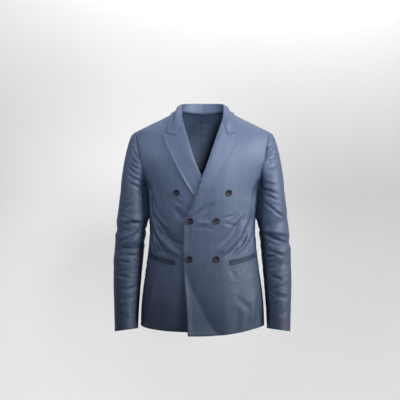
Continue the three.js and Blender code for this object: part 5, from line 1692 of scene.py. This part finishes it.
def buttonhole(name, x, z):
    """Worked buttonhole: a bead of stitches round a long narrow loop, thicker at both ends, and its slit, a
    dark tube sunk into the front as painted shade in the cut.
    """
    way = np.linspace(0, 2 * np.pi, 181)
    half = HOLE["length"] / 2
    across_x = half * np.sign(np.cos(way)) * np.abs(np.cos(way)) ** 0.55
    across_z = HOLE["halfHeight"] * np.sign(np.sin(way)) * np.abs(np.sin(way)) ** 0.8
    path, normal = front_view("left", x + across_x, z + across_z, 0.1)
    ahead = unit(np.roll(path[:-1], -1, 0) - np.roll(path[:-1], 1, 0))
    ahead = np.concatenate([ahead, ahead[:1]])
    aside = unit(np.cross(ahead, normal))
    radius = HOLE["bead"] + HOLE["stitch"] * np.cos(HOLE["stitches"] * way)
    radius = radius + HOLE["bar"] * smooth(np.abs(across_x), half - 2, half)
    points, faces = tube_along(path, aside, normal, radius)
    small_piece("stitches_" + name, points, faces, HOLE_THREAD)
    # The slit: a thin dark tube sunk a little into the front, painted shade in the opening
    s = np.linspace(-1, 1, 25)
    path, normal = front_view("left", x + s * (half - 1), z + 0 * s, -HOLE["slitDepth"])
    aside = unit(np.cross(unit(np.gradient(path, axis=0)), normal))
    points, faces = tube_along(path, aside, normal, HOLE["slit"] * np.sqrt(1.02 - s ** 2))
    small_piece("slit_" + name, points, faces, SLIT_SHADE)


for name, x, z in BUTTONHOLES:
    buttonhole(name, x, z)


def bar_tacks(side):
    """Short satin stitches that close both ends of a pocket."""
    shapes = []
    start = front_angle(POCKET["startX"], POCKET["startZ"])
    for girth in (0.0, POCKET["length"]):
        s = np.linspace(-1, 1, 41)
        angle = start + (girth + 0 * s) / GIRTH_RADIUS
        z = POCKET["startZ"] + POCKET["rise"] * girth + s * (POCKET["jet"] - TACK["short"])
        base, normal = body_point(angle, z), body_normal(angle, z)
        rise = front_rise(side, angle, base[..., 0], z) + SEAM + POCKET["cloth"] + 0.1
        path = base + normal * rise[..., None]
        aside = unit(np.cross(unit(np.gradient(path, axis=0)), normal))
        radius = TACK["radius"] + TACK["stitch"] * np.cos(np.arange(len(s)) * np.pi)
        radius = radius * np.sqrt(1.05 - s ** 2) ** 0.3
        shapes.append(tube_along(path, aside, normal, radius))
    points, faces = join_shapes(shapes)
    small_piece(f"pocket_tacks_{side}", points * mirror_of(side), faces, HOLE_THREAD)


for side in ("left", "right"):
    bar_tacks(side)


# Studio: a pale floor that sweeps up into a backdrop, soft lights and the camera

# Metres
FLOOR_Z = -1.42
BACKDROP = {"half": 7.0, "frontY": -6.0, "sweepY": 1.4, "sweep": 1.2, "wallY": 2.6, "topZ": 5.0}
EYE = (-0.0081, -3.2, -0.273)


def backdrop():
    """Floor from in front of the object to behind it, a quarter circle, and a wall."""
    turn = np.linspace(0, np.pi / 2, 25)
    sweep = BACKDROP["sweep"]
    bent_y = BACKDROP["sweepY"] + sweep * np.sin(turn)
    y = np.concatenate([[BACKDROP["frontY"]], bent_y, [BACKDROP["wallY"]]])
    z = np.concatenate([[FLOOR_Z], FLOOR_Z + sweep * (1 - np.cos(turn)), [BACKDROP["topZ"]]])
    x = np.array([-BACKDROP["half"], BACKDROP["half"]])[:, None]
    points = vector(x, y, z).reshape(-1, 3) / MM
    n = len(y)
    ids = np.arange(2 * n).reshape(2, n)
    faces = np.stack([ids[0, :-1], ids[1, :-1], ids[1, 1:], ids[0, 1:]], -1)
    material, tree, surface = new_material("matt_painted_plaster", Roughness=0.85)
    place = add_node(tree, "ShaderNodeTexCoord")
    mottle = add_node(tree, "ShaderNodeTexNoise", values={"Scale": 1.5, "Detail": 2.0},
                      links={"Vector": place.outputs["Object"]})
    blend_colours(tree, surface, mottle.outputs["Fac"], "D6D6D6", "DCDCDC")
    stage = new_piece("studio_backdrop", points, faces, None, material)


def soft_light(name, place, aim, size, watts, tint, beam=180):
    """Area light at a place in metres, turned to face another, with a beam as wide as its angle."""
    data = bpy.data.lights.new(name, "AREA")
    data.shape, data.size, data.size_y = "RECTANGLE", size[0], size[1]
    data.energy, data.color, data.spread = watts, colour(tint)[:3], math.radians(beam)
    light = bpy.data.objects.new(name, data)
    heading = unit(np.array(aim, float) - np.array(place, float))
    light.rotation_euler = (math.acos(-heading[2]), 0, math.atan2(heading[0], -heading[1]) + math.pi)
    light.location = place
    bpy.context.scene.collection.objects.link(light)


backdrop()
bpy.context.scene.view_settings.view_transform = "Standard"
world = bpy.data.worlds.new("studio_air")
world.use_nodes = True
world.node_tree.nodes["Background"].inputs["Color"].default_value = colour("DDE2EA")
world.node_tree.nodes["Background"].inputs["Strength"].default_value = 0.04
bpy.context.scene.world = world
soft_light("far_key", (2.2, -1.0, 0.3), (0.2, -0.1, -0.25), (0.8, 1.0), 8.6, "FFFCF7", 55)
soft_light("key", (1.6, -1.2, 0.8), (0.0, -0.1, 0.1), (0.45, 0.55), 6.4, "FFFCF7", 55)
soft_light("second", (-2.0, -1.3, 0.9), (-0.08, -0.1, 0.1), (0.7, 0.8), 3.9, "F1F5FF", 38)
soft_light("lapels", (0.5, -2.4, 0.35), (0.1, -0.1, 0.0), (0.5, 0.5), 1.8, "FFFFFF", 22)
soft_light("wall", (0.4, 0.9, 2.6), (0.3, 2.6, 0.2), (4.0, 0.8), 165, "FFFFFF")

camera = bpy.data.cameras.new("camera")
camera.lens, camera.sensor_width, camera.clip_end = 88.6, 36, 60
eye = bpy.data.objects.new("camera", camera)
eye.location = EYE
eye.rotation_euler = (math.pi / 2, 0, 0)
bpy.context.scene.collection.objects.link(eye)
bpy.context.scene.camera = eye
